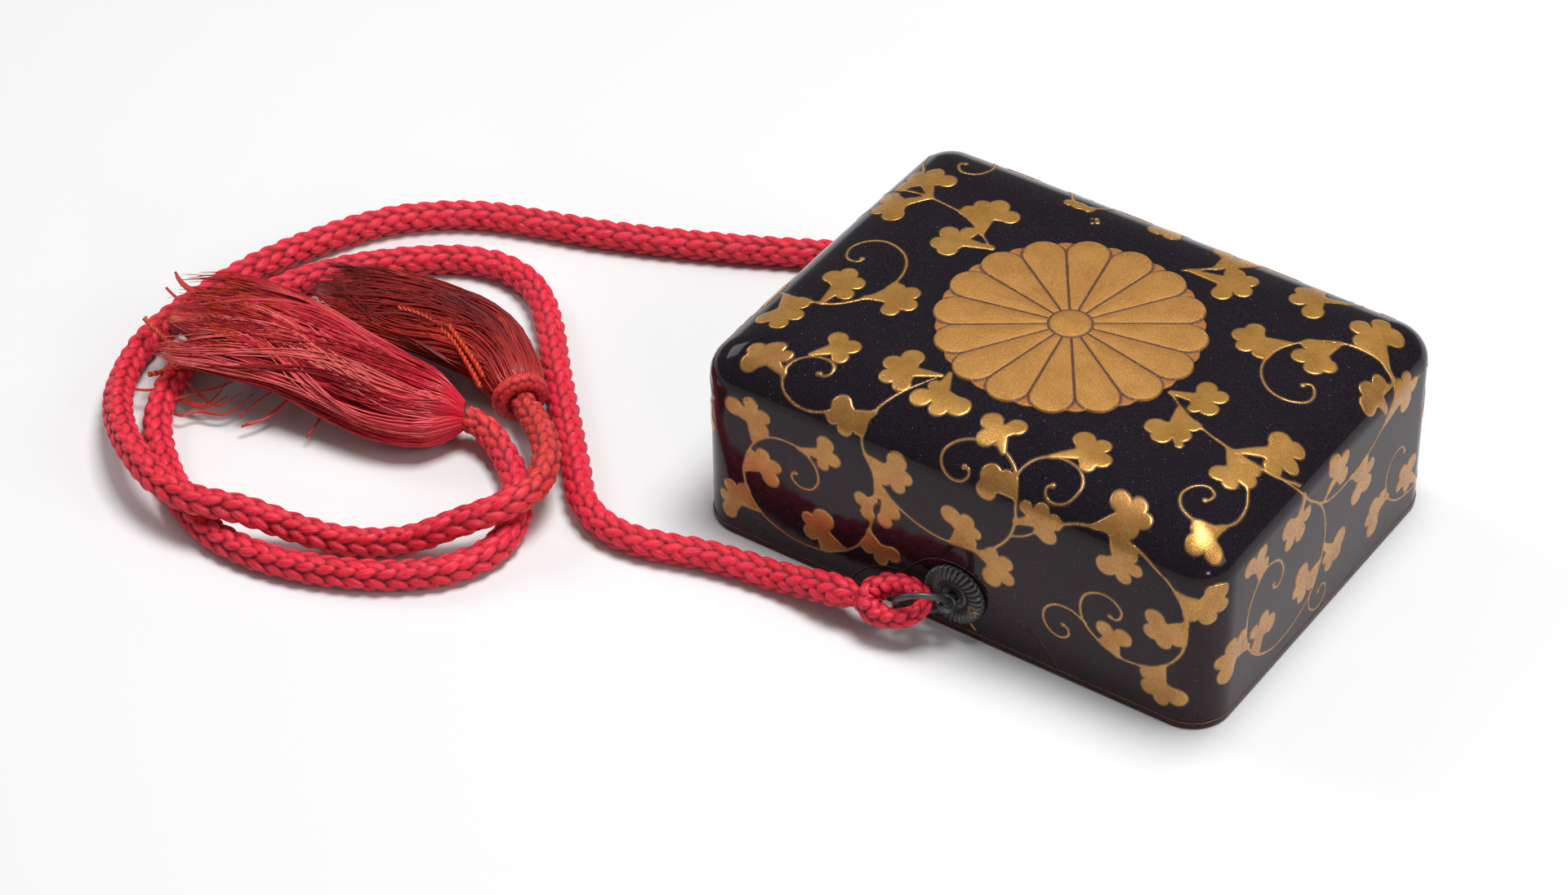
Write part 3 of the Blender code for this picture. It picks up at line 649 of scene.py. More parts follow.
def top_height(x, y):
    return BOX_HEIGHT - TOP_CROWN / 2 * ((2 * x / BOX_LENGTH) ** 2 + (2 * y / BOX_WIDTH) ** 2)


def lacquered(obj, node):
    obj.data.materials.clear()
    obj.data.materials.append(LACQUER)
    obj.data.shade_smooth()
    obj.data.set_sharp_from_angle(angle=LACQUER_SHARP)
    return finish_piece(obj, "lacquer", node)


def make_tray():
    rings = []
    for step in range(FOOT_STEPS + 1):
        share = step / FOOT_STEPS
        inset = FOOT_ROUND * (1 - math.sqrt(1 - (1 - share) ** 2))
        outline = rounded_rectangle(inset, CORNER_RADIUS - inset)
        rings.append([point + RISE * FOOT_ROUND * share for point in outline])
    rings.append([point + RISE * BASE_STRIP for point in outline])
    tray = loft_object("tray_lacquer", rings)
    combine(tray, prism("wall", TRAY_INSET, BASE_STRIP / 2, TRAY_TOP), "UNION")
    within = FRONT_FACE - TRAY_INSET - TRAY_WALL / 2
    for side in (-1, 1):
        combine(tray, tongue_block("tongue", 0.0, side, within, FRONT_FACE, BASE_STRIP / 2), "UNION")
    combine(tray, prism("hollow", HOLLOW_INSET, TRAY_FLOOR, BOX_HEIGHT), "DIFFERENCE")
    for side in (-1, 1):
        start = side * (FRONT_FACE - HOLLOW_INSET - TRAY_WALL)
        end = side * (FRONT_FACE + TRAY_WALL)
        combine(tray, cylinder_along_y("hole", SHANK_RADIUS + FIT_GAP, start, end), "DIFFERENCE")
    return lacquered(tray, "tray")


def make_lid():
    outline = rounded_rectangle(0.0, corner_at(0.0))
    rings = [[point + RISE * (BASE_STRIP + FIT_GAP) for point in outline]]
    for step in range(EDGE_STEPS + 1):
        turn = math.pi / 2 * step / EDGE_STEPS
        inset = EDGE_ROUND_ACROSS * (1 - math.cos(turn))
        drop = EDGE_ROUND_DOWN * (1 - math.sin(turn))
        outline = rounded_rectangle(inset, corner_at(inset))
        rings.append([point + RISE * (top_height(point.x, point.y) - drop) for point in outline])
    for share in TOP_SHARES:
        ring = [point * share for point in outline]
        rings.append([point + RISE * top_height(point.x, point.y) for point in ring])
    lid = loft_object("lid_lacquer", rings, first_cap=False)
    shell = lid.modifiers.new("wall", "SOLIDIFY")
    shell.thickness = LID_WALL
    shell.offset = -1
    shell.use_even_offset = True
    bake(lid)
    for side in (-1, 1):
        inner = FRONT_FACE - TRAY_INSET - FIT_GAP
        combine(lid, tongue_block("notch", FIT_GAP, side, inner, FRONT_FACE + LID_WALL, 0.0), "DIFFERENCE")
    return lacquered(lid, "lid")


def make_hairlines():
    """Pale lines at the joints between lid and tray: worn edges, partly a painted highlight where the edges
    would catch the light.
    """
    meshes = []
    for side in (-1, 1):
        y = side * (FRONT_FACE / MM + JOINT_OUT_MM)
        notch = spline_mm([(x / MM, y, z / MM) for x, z in tongue_outline(FIT_GAP)], JOINT_STEP_MM)
        meshes.append((*sweep(notch, NOTCH_LINE_MM, LINE_SIDES), {}))
    joint = RISE * (BASE_STRIP + FIT_GAP / 2)
    outline = [tuple((point + joint) / MM) for point in rounded_rectangle(0.0, CORNER_RADIUS)]
    meshes.append((*sweep(outline, FOOT_LINE_MM, LINE_SIDES, closed=True), {}))
    return joined_piece("joint_wear_and_highlight", meshes, JOINT_WEAR_AND_HIGHLIGHT, "lacquer")


# Charts of the lacquer's surface, in millimetres

HALF_LENGTH_MM = BOX_LENGTH / MM / 2
HALF_WIDTH_MM = BOX_WIDTH / MM / 2
ROUND_MM = CORNER_RADIUS / MM
ACROSS_MM = EDGE_ROUND_ACROSS / MM
DOWN_MM = EDGE_ROUND_DOWN / MM
WALL_TOP_MM = WALL_TOP / MM
FRONT_RUN_MM = HALF_LENGTH_MM - ROUND_MM
SIDE_RUN_MM = HALF_WIDTH_MM - ROUND_MM
CORNER_RUN_MM = ROUND_MM * math.pi / 2
HALF_ROUND_MM = 2 * (FRONT_RUN_MM + SIDE_RUN_MM + CORNER_RUN_MM)
SIDE_START_MM = FRONT_RUN_MM + CORNER_RUN_MM
HALFWAY_STEPS = 24
NORMAL_STEP_MM = 0.02
EDGE_TURNS = np.linspace(0, math.pi / 2, 200)
EDGE_IN_MM = ACROSS_MM * (1 - np.cos(EDGE_TURNS))
EDGE_UP_MM = DOWN_MM * np.sin(EDGE_TURNS)
EDGE_GONE_MM = np.concatenate([[0], np.cumsum(np.hypot(np.diff(EDGE_IN_MM), np.diff(EDGE_UP_MM)))])


def corners_mm(inset):
    rest = ROUND_MM - np.minimum(inset, ACROSS_MM)
    return (rest + np.hypot(rest, 2 * CORNER_SOFTNESS / MM)) / 2


def crown_mm(x, y):
    return TOP_CROWN / MM / 2 * ((x / HALF_LENGTH_MM) ** 2 + (y / HALF_WIDTH_MM) ** 2)


def band_mm(u, v):
    """Point of the surface: u round the box from the middle of the front, v up and over the edge."""
    u, v = np.asarray(u, float), np.asarray(v, float)
    over = np.clip(v - WALL_TOP_MM, 0, EDGE_GONE_MM[-1])
    inset = np.interp(over, EDGE_GONE_MM, EDGE_IN_MM) + np.maximum(v - WALL_TOP_MM - EDGE_GONE_MM[-1], 0)
    height = np.minimum(v, WALL_TOP_MM) + np.interp(over, EDGE_GONE_MM, EDGE_UP_MM)
    halves = np.floor((u + FRONT_RUN_MM) / HALF_ROUND_MM)
    u = u - halves * HALF_ROUND_MM
    radius = corners_mm(inset)
    cx, cy = HALF_LENGTH_MM - inset - radius, HALF_WIDTH_MM - inset - radius
    near = np.clip((u - FRONT_RUN_MM) / ROUND_MM, 0, math.pi / 2)
    far_start = SIDE_START_MM + 2 * SIDE_RUN_MM
    far = np.clip((u - far_start) / ROUND_MM, 0, math.pi / 2)
    side_y = (u - SIDE_START_MM - SIDE_RUN_MM) * cy / SIDE_RUN_MM
    zones = [u <= FRONT_RUN_MM, u <= SIDE_START_MM, u <= far_start]
    x = np.select(zones, [u * cx / FRONT_RUN_MM, cx + radius * np.sin(near), cx + radius],
                  cx + radius * np.cos(far))
    y = np.select(zones, [-cy - radius, -cy - radius * np.cos(near), side_y], cy + radius * np.sin(far))
    sign = np.where(halves % 2 == 0, 1, -1)
    z = np.where(v <= WALL_TOP_MM, v, height + TOP_CROWN / MM / 2 - crown_mm(x, y))
    return np.stack([x * sign, y * sign, z], -1)


def plan_mm(x, y):
    """Point of the lid's upper surface above a point of the plan."""
    x, y = np.asarray(x, float), np.asarray(y, float)
    low, high = np.zeros(x.shape), np.full(x.shape, HALF_WIDTH_MM)
    for _ in range(HALFWAY_STEPS):
        middle = (low + high) / 2
        radius = corners_mm(middle)
        out_x = np.abs(x) - (HALF_LENGTH_MM - middle - radius)
        out_y = np.abs(y) - (HALF_WIDTH_MM - middle - radius)
        beyond = np.hypot(np.maximum(out_x, 0), np.maximum(out_y, 0))
        inside = beyond + np.minimum(np.maximum(out_x, out_y), 0) < radius
        low, high = np.where(inside, middle, low), np.where(inside, high, middle)
    share = np.clip(1 - low / ACROSS_MM, 0, 1)
    drop = DOWN_MM * (1 - np.sqrt(np.maximum(1 - share ** 2, 0)))
    return np.stack([x, y, BOX_HEIGHT / MM - crown_mm(x, y) - drop], -1)


def raised_mm(chart, a, b, height):
    """Points of a chart, lifted off the surface along its normal."""
    a, b, height = np.asarray(a, float), np.asarray(b, float), np.asarray(height, float)
    over_a = chart(a + NORMAL_STEP_MM, b) - chart(a - NORMAL_STEP_MM, b)
    over_b = chart(a, b + NORMAL_STEP_MM) - chart(a, b - NORMAL_STEP_MM)
    normal = np.cross(over_a, over_b)
    normal /= np.linalg.norm(normal, axis=-1)[..., None]
    return chart(a, b) + normal * height[..., None]


# Vines: width at the start and at the end, then points. Leaves: root, then lobes as centre and radius.
# Both are in millimetres on a chart: u and v round the walls, or x and y on the top.

BAND_VINES = [
    (0.6, 0.9, [(-16.2, 58.5), (-17, 55), (-18.5, 50), (-20, 45), (-20.4, 40.5), (-19.3, 36),
        (-17.6, 32.6), (-17, 30), (-16.9, 25)]),
    (0.9, 0.8, [(-16.8, 30.6), (-13, 27.3), (-9, 24.8), (-4, 23.1), (1, 22.7), (7, 23.4), (11, 26),
        (14.4, 30.3), (15.8, 35), (15.6, 40), (13.9, 44.4), (11, 47.1), (7.5, 48.6), (3.5, 48.5),
        (-0.4, 46.8), (-2.6, 43.7), (-1.9, 40.9), (0.6, 39.1), (3, 39.3), (4.3, 40.8), (3.8, 42.2),
        (2.8, 42.2)]),
    (0.7, 0.7, [(14.8, 31), (18, 32.5), (20.6, 34.7)]),
    (0.8, 0.8, [(25.4, 38.9), (30, 40.8), (35, 41.5), (40, 41.3), (45, 39.9), (49.8, 36.9), (53, 33),
        (54.7, 28), (54.8, 23), (53.8, 19), (51, 15.1), (47, 12.7), (42, 11.8), (38, 12.6), (34.5, 14.8),
        (32, 17.5), (31.2, 21), (32.2, 24.2), (35, 26), (38, 26), (40.4, 24), (40.3, 21.9), (39, 21),
        (38, 21.4)]),
    (0.8, 0.8, [(32.6, 17), (29.5, 18.6), (26, 18.6), (23.4, 16.6), (22.9, 13.8), (24.4, 11.3),
        (27, 10.5), (28.8, 11.8), (28.5, 13.6), (27.5, 14)]),
    (0.7, 0.8, [(-17.6, 19.5), (-18.4, 16.5), (-20.6, 12), (-24, 8.8), (-29, 6.3), (-34, 5.6), (-39, 6.3),
        (-44, 8.5), (-47.3, 12.3), (-48.8, 17), (-48.3, 22), (-46.3, 26.5), (-42.5, 29.8), (-38, 30.7),
        (-34, 29.8), (-31.2, 27), (-30.6, 23.5), (-32.3, 20.8), (-35, 20.3), (-37, 21.7), (-36.8, 23.2),
        (-36.1, 23.4)]),
    (0.7, 0.7, [(-29.4, 41.7), (-33, 40.6), (-37, 40.8), (-40.5, 42.7), (-42, 46), (-41.8, 49),
        (-40, 51.3), (-37, 52), (-34.5, 51.3), (-33.2, 49.5), (-34, 48.1), (-35.3, 48.3)]),
    (0.7, 0.7, [(13.9, 44.4), (14.1, 46.2), (15.6, 49), (18.5, 51), (22, 51.6), (25.5, 50.7), (27.2, 48),
        (26.8, 45), (25.3, 43), (22.6, 42.4), (20.9, 43.5), (20.7, 45), (21.6, 45.5)]),
    (0.7, 0.9, [(82.6, 60), (84.3, 54.5), (87.2, 46.4), (89.6, 41), (93, 36.2), (97.4, 32.2), (100, 28),
        (101.2, 22), (100.3, 16), (98, 10.6), (95, 8), (90, 6), (85, 5.4), (80, 6.2), (75, 9.1),
        (71.5, 13.5), (70.3, 19), (71, 24), (73.5, 28), (76, 29.8), (79, 30), (82.2, 28.4), (84, 25.5),
        (83.8, 23), (82.1, 21.8), (80.5, 22.6), (80.5, 23.4)]),
    (0.9, 0.8, [(97.2, 32.3), (101, 30.2), (106, 29.4), (111, 29.6), (116, 30.5), (120, 32), (124, 34.6),
        (127, 38), (129.2, 40.6), (130.4, 45), (130.9, 51), (132.2, 56), (133.6, 60)]),
    (0.7, 0.7, [(122, 33.4), (127, 34.5), (130.5, 36.3)]),
    (0.8, 0.7, [(135.8, 37.4), (140, 37.2), (144, 35.8), (148, 33)]),
    (0.7, 0.7, [(96.4, 9.6), (96.3, 6), (98.4, 3.4), (101, 3), (103, 4.6), (103, 7), (101.4, 8.2),
        (100, 7.2)]),
    (0.8, 0.7, [(146, 8.5), (142, 7), (137, 6.9), (133, 8), (129, 11), (127.3, 14.5), (127, 18),
        (128.5, 21), (131, 22.4), (133.4, 21.8), (134.2, 20)]),
]
BAND_LEAVES = [
    (-46.6, 27.6, [(-50.9, 34.2, 2.3), (-46.9, 36.6, 1.9), (-43.9, 34.4, 1.8), (-44.1, 31.2, 1.6)]),
    (-48.4, 18.8, [(-46.4, 23.2, 1.4), (-44.1, 24.4, 1.8), (-41.3, 22.6, 1.8), (-42.2, 19.1, 2.1)]),
    (-35.0, 30.2, [(-28.8, 34.2, 2.1), (-27.0, 31.0, 1.9), (-29.4, 28.7, 1.5)]),
    (-45.8, 9.2, [(-49.2, 13.0, 1.6), (-52.3, 12.7, 1.7), (-53.6, 9.4, 1.7), (-52.7, 6.0, 2.0)]),
    (-24.6, 9.0, [(-29.4, 14.4, 2.6), (-32.9, 12.9, 1.8), (-32.4, 9.6, 1.9), (-28.8, 8.0, 1.9)]),
    (-18.2, 16.4, [(-12.6, 13.0, 2.0), (-15.4, 10.6, 1.7), (-18.6, 12.2, 1.6)]),
    (-15.0, 29.0, [(-12.6, 23.9, 1.8), (-14.6, 21.0, 1.9), (-13.6, 26.2, 1.2)]),
    (-16.8, 26.0, [(-20.1, 24.1, 1.9), (-18.7, 21.0, 1.8)]),
    (-18.9, 36.0, [(-11.8, 37.5, 2.4), (-9.9, 34.2, 1.9), (-11.5, 31.3, 1.8), (-14.8, 31.6, 1.5)]),
    (1.2, 22.9, [(1.0, 29.8, 2.4), (4.8, 30.0, 1.8), (6.6, 27.7, 1.6), (5.6, 25.1, 1.6)]),
    (6.6, 23.3, [(10.8, 24.4, 1.5), (13.8, 23.3, 1.9), (14.2, 19.7, 1.9), (10.7, 18.3, 2.4)]),
    (15.9, 35.0, [(18.0, 39.6, 1.4), (21.4, 40.0, 1.8), (24.5, 38.8, 1.8), (23.1, 35.2, 2.3)]),
    (14.9, 40.6, [(8.7, 42.8, 2.3), (8.8, 39.8, 2.3), (11.8, 43.4, 1.6)]),
    (-19.9, 45.0, [(-27.1, 44.1, 2.2), (-27.6, 41.5, 1.7), (-24.5, 40.3, 1.9), (-21.6, 41.4, 1.6)]),
    (-41.8, 45.4, [(-44.4, 49.0, 1.6), (-47.7, 49.8, 2.0), (-50.5, 48.0, 1.8), (-49.8, 45.0, 2.1)]),
    (37.0, 41.2, [(36.7, 34.0, 2.4), (40.6, 32.9, 1.8), (43.0, 35.8, 1.8), (41.8, 38.9, 1.7)]),
    (33.0, 41.6, [(35.9, 48.2, 2.3), (39.9, 48.7, 1.9), (42.0, 46.2, 1.8), (40.2, 43.6, 1.8)]),
    (52.6, 34.6, [(60.2, 35.5, 2.5), (61.0, 31.8, 1.8), (58.7, 29.2, 1.8), (55.6, 29.6, 1.4)]),
    (54.5, 27.4, [(48.0, 25.8, 2.3), (47.4, 22.2, 1.9), (50.1, 20.9, 1.9), (52.8, 22.4, 1.5)]),
    (50.6, 14.2, [(46.8, 10.8, 1.6), (47.4, 7.7, 1.9), (50.2, 6.0, 1.8), (53.6, 7.9, 2.3)]),
    (40.2, 12.2, [(36.9, 17.6, 2.0), (41.0, 17.2, 2.2), (37.4, 14.4, 1.4)]),
    (71.8, 13.8, [(68.4, 18.6, 1.7), (64.7, 18.9, 1.9), (62.2, 16.4, 1.8), (63.7, 12.6, 2.5)]),
    (76.2, 9.2, [(73.4, 16.2, 1.6), (77.3, 16.6, 2.1), (80.0, 13.8, 2.2), (74.4, 12.4, 1.5)]),
    (74.2, 29.4, [(70.2, 35.1, 2.2), (74.6, 35.5, 2.1), (76.1, 31.9, 1.6)]),
    (91.2, 38.4, [(85.0, 34.3, 2.4), (86.0, 30.3, 2.0), (90.2, 29.8, 2.0), (92.4, 33.1, 1.8)]),
    (100.0, 31.6, [(103.2, 37.7, 2.5), (107.2, 36.7, 2.0), (107.0, 32.6, 2.0)]),
    (111.0, 29.6, [(113.9, 22.9, 2.4), (118.0, 23.0, 2.0), (118.9, 27.0, 1.8), (116.4, 29.4, 1.5)]),
    (124.4, 35.0, [(130.0, 39.6, 1.8), (133.0, 39.4, 1.8), (135.4, 36.7, 1.8), (132.7, 33.9, 2.3)]),
    (124.2, 36.8, [(119.4, 41.8, 2.3), (121.6, 44.2, 1.9), (125.4, 43.2, 1.9)]),
    (99.8, 15.6, [(92.3, 17.3, 2.6), (90.6, 14.1, 1.8), (92.9, 11.6, 1.9), (96.6, 12.2, 1.8)]),
    (101.2, 18.6, [(107.7, 15.8, 2.5), (107.0, 12.7, 1.9), (103.9, 12.0, 1.9), (102.4, 14.4, 1.4)]),
    (128.2, 12.4, [(125.4, 14.2, 1.5), (122.2, 13.9, 2.0), (120.4, 11.6, 1.7), (122.3, 8.4, 2.4)]),
    (141.4, 7.4, [(138.0, 14.2, 2.2), (134.4, 14.4, 1.7), (133.4, 11.6, 1.6), (136.8, 9.4, 1.7)]),
    (147.0, 30.8, [(142.4, 24.6, 1.8), (144.2, 28.0, 1.8), (146.6, 25.2, 1.8)]),
]
PLAN_VINES = [
    (0.8, 0.5, [(-61, 22.4), (-56, 21.8), (-51, 21.2), (-46.5, 20.8), (-39, 19.8), (-33, 17),
        (-27.2, 13)]),
    (0.8, 0.7, [(-61, -14.4), (-58.2, -18.4), (-55, -20.6), (-51, -21.6), (-46, -21.2), (-42, -18.5),
        (-38.6, -13.5), (-37, -7.5), (-38, -2), (-41, 1.7), (-45.5, 3), (-49.5, 1.5), (-51.6, -1.5),
        (-50.6, -4.9), (-48.4, -6), (-47, -5.3), (-47.1, -4.4)]),
    (0.8, 0.7, [(-54.4, 30), (-56.8, 33.5), (-58.2, 38)]),
    (0.7, 0.8, [(-46.5, 44.8), (-43.6, 41), (-42.1, 37), (-43, 33.5), (-46, 32), (-48, 33.4), (-48.3, 35),
        (-47.5, 35.4)]),
    (0.8, 0.8, [(-27, 45), (-25, 41.5), (-22.8, 38), (-20.6, 36.4)]),
    (0.8, 0.8, [(-19, 45), (-15, 42.5), (-15.2, 39.6), (-17.4, 37)]),
    (0.6, 1.0, [(9.4, 28), (13, 31), (17, 34.8), (19.6, 38.6), (19.9, 42), (18, 45)]),
    (0.8, 0.8, [(41.5, 38.6), (43.8, 40.8), (43, 43), (40.4, 44.8)]),
    (0.7, 0.7, [(60.4, 24.8), (59, 26.4), (55.8, 27.3), (50, 26.2), (45, 24.3), (40.6, 20.6), (38.2, 16),
        (38, 11), (40, 7), (43.5, 4.2), (47.5, 3.6), (50.6, 5.4), (51.2, 8), (49.8, 10.4), (48.4, 10.4),
        (47.9, 9.5)]),
    (0.5, 0.8, [(27.6, -7.2), (33, -10.8), (40, -13.8), (47, -15.7), (53, -15.9), (57, -14.4),
        (60.4, -10.4)]),
    (0.7, 0.7, [(54.4, -38), (53.9, -35.3), (50.5, -36.5), (46.5, -35), (44.7, -32), (45.5, -28.9),
        (47.8, -27.3), (49.9, -28.2), (50, -30), (49.3, -30.8)]),
    (0.6, 0.7, [(53.7, -22), (55.8, -26), (56.2, -31), (54.2, -35.6)]),
]
PLAN_LEAVES = [
    (-46.8, 20.9, [(-47.2, 27.6, 2.2), (-51.2, 28.8, 2.3), (-54.8, 27.6, 2.0), (-54.8, 23.8, 2.0)]),
    (-46.8, 20.9, [(-55.4, 18.4, 2.2), (-54.3, 13.9, 2.3), (-50.4, 12.1, 2.4), (-51.0, 16.4, 1.6)]),
    (-31.2, 16.0, [(-29.4, 23.9, 2.2), (-33.2, 25.8, 2.3), (-36.2, 24.2, 1.9), (-37.6, 21.2, 1.8)]),
    (-26.6, 12.9, [(-33.6, 14.8, 1.8), (-36.9, 12.6, 2.1), (-36.6, 8.7, 2.1), (-34.2, 7.7, 2.2)]),
    (-39.4, -14.8, [(-35.6, -9.0, 1.8), (-32.4, -8.7, 2.0), (-31.0, -12.2, 2.1), (-33.0, -15.4, 2.0)]),
    (-46.0, -20.8, [(-49.0, -12.4, 2.1), (-46.6, -10.2, 2.0), (-43.6, -12.0, 2.0), (-43.6, -16.0, 1.9)]),
    (-54.8, -21.2, [(-49.6, -23.0, 2.0), (-48.4, -26.9, 1.9), (-49.8, -30.6, 2.0), (-53.8, -29.4, 2.2)]),
    (-38.8, -35.4, [(-36.6, -28.8, 2.1), (-33.0, -29.6, 2.1), (-33.2, -33.2, 1.8)]),
    (-13.0, -27.4, [(-20.8, -25.8, 2.4), (-23.1, -29.2, 2.2), (-21.8, -33.0, 2.0), (-18.2, -33.8, 1.9)]),
    (-11.9, -26.0, [(-13.0, -34.8, 2.3), (-8.4, -35.6, 2.0), (-5.2, -33.4, 2.6), (-12.2, -30.6, 1.6)]),
    (8.8, -39.0, [(2.8, -33.6, 2.3), (7.9, -32.6, 2.1), (4.0, -37.4, 2.1)]),
    (17.6, -36.0, [(20.9, -28.7, 2.3), (24.8, -28.6, 2.0), (26.9, -32.0, 2.0), (25.2, -34.6, 1.6)]),
    (27.6, -7.0, [(32.9, -2.2, 2.1), (36.2, -3.2, 2.0), (36.4, -7.4, 2.0), (33.8, -8.8, 1.3)]),
    (31.4, -10.6, [(30.4, -17.6, 2.3), (32.8, -19.4, 2.2), (36.0, -17.2, 2.0), (36.4, -13.6, 1.6),
        (37.1, -20.0, 0.9)]),
    (46.6, -15.9, [(52.3, -7.0, 2.4), (55.4, -6.4, 1.9), (56.3, -10.4, 1.9), (54.4, -13.6, 1.9)]),
    (45.8, -15.9, [(47.8, -22.6, 2.2), (50.6, -23.6, 1.7), (52.6, -20.4, 1.9), (52.0, -17.6, 1.8)]),
    (39.0, 19.4, [(31.4, 19.2, 2.1), (30.0, 16.5, 2.1), (32.3, 13.9, 2.0), (36.0, 13.7, 1.9)]),
    (47.6, 24.8, [(42.8, 21.4, 1.7), (43.2, 17.4, 2.2), (47.0, 15.6, 2.2), (49.0, 17.6, 1.9)]),
    (57.6, 27.1, [(54.4, 34.8, 2.3), (50.9, 35.9, 2.0), (48.2, 32.2, 2.2), (50.6, 28.8, 2.0)]),
    (60.0, 25.6, [(58.0, 23.0, 1.6), (57.6, 19.6, 1.7), (59.0, 16.4, 1.8)]),
    (11.0, 28.8, [(18.8, 33.0, 2.2), (22.4, 32.6, 2.0), (23.0, 28.9, 2.0), (19.8, 26.0, 2.2)]),
    (14.6, 32.4, [(15.8, 37.2, 1.3), (17.8, 40.0, 1.9), (12.0, 40.2, 2.2)]),
    (2.4, 45.0, [(-2.6, 38.6, 2.2), (0.8, 38.4, 2.0), (0.4, 41.6, 1.8)]),
    (41.6, 38.8, [(33.0, 36.8, 2.1), (33.6, 33.2, 2.1), (38.0, 31.0, 2.3), (34.6, 39.6, 1.8)]),
    (-20.2, 36.8, [(-22.2, 35.8, 1.3), (-17.8, 36.0, 1.3)]),
    (55.2, -34.0, [(56.4, -39.6, 1.9), (53.0, -40.2, 2.2), (51.8, -37.4, 1.6)]),
]
# Rubbed gold behind the medallion: x, y and radius
WORN_SPOTS = [(-14.2, 33.4, 0.5), (-13.4, 32.4, 0.55), (-14.2, 31.6, 0.4), (-15.1, 32.9, 0.3)]

# Bare stem under the front plate, drawn as a vine without a knob
STEM = (0.9, 0.5, [(6.0, 3.8), (7.2, 2.4), (8.5, 0.9)])

# How vines, leaves and their outlines are shaped
CELL_MM = 0.3
HIDDEN_CELL_MM = 1.2 * CELL_MM
BARE_MM = -9.0
VINE_STEP_MM = 0.7
VINE_RADIUS_SHARE = 0.35
KNOB_MM = 0.56
LEAF_ROOT_MM = 0.5
LEAF_MIDDLE_MM = 1.7
LEAF_MIDDLE_SHARE = 0.78
LEAF_NECK_MM = 1.55
LEAF_NECK_SHARE = 0.80
FILLET_MM = 0.9
HOLE_MM = 0.75
HOLE_STEPS = 24
GOLD_RISE_MM = 0.11
GOLD_ROUND_MM = 0.4
GOLD_LIFT_MM = 0.035
GOLD_SUNK_MM = 0.03
OUTLINE_MM = 0.26
OUTLINE_UNDER_MM = 0.3
OUTLINE_RISE_MM = 0.03
OUTLINE_ROUND_MM = 0.12
OUTLINE_SUNK_MM = 0.012

# Parts of the charts that hold the vines, from their least to their greatest place, and the heights
# between which the vines on the walls are kept
WALL_RANGE = ((-60, 0.6), (155, 60.6))
WALL_STOPS = (2.3, 60)
HIDDEN_RANGE = ((-60 + HALF_ROUND_MM, 0.6), (153 + HALF_ROUND_MM, 46))
HIDDEN_STOPS = (2.3, 44.5)
TOP_RANGE = ((-59.5, -44.6), (59.5, 44.6))


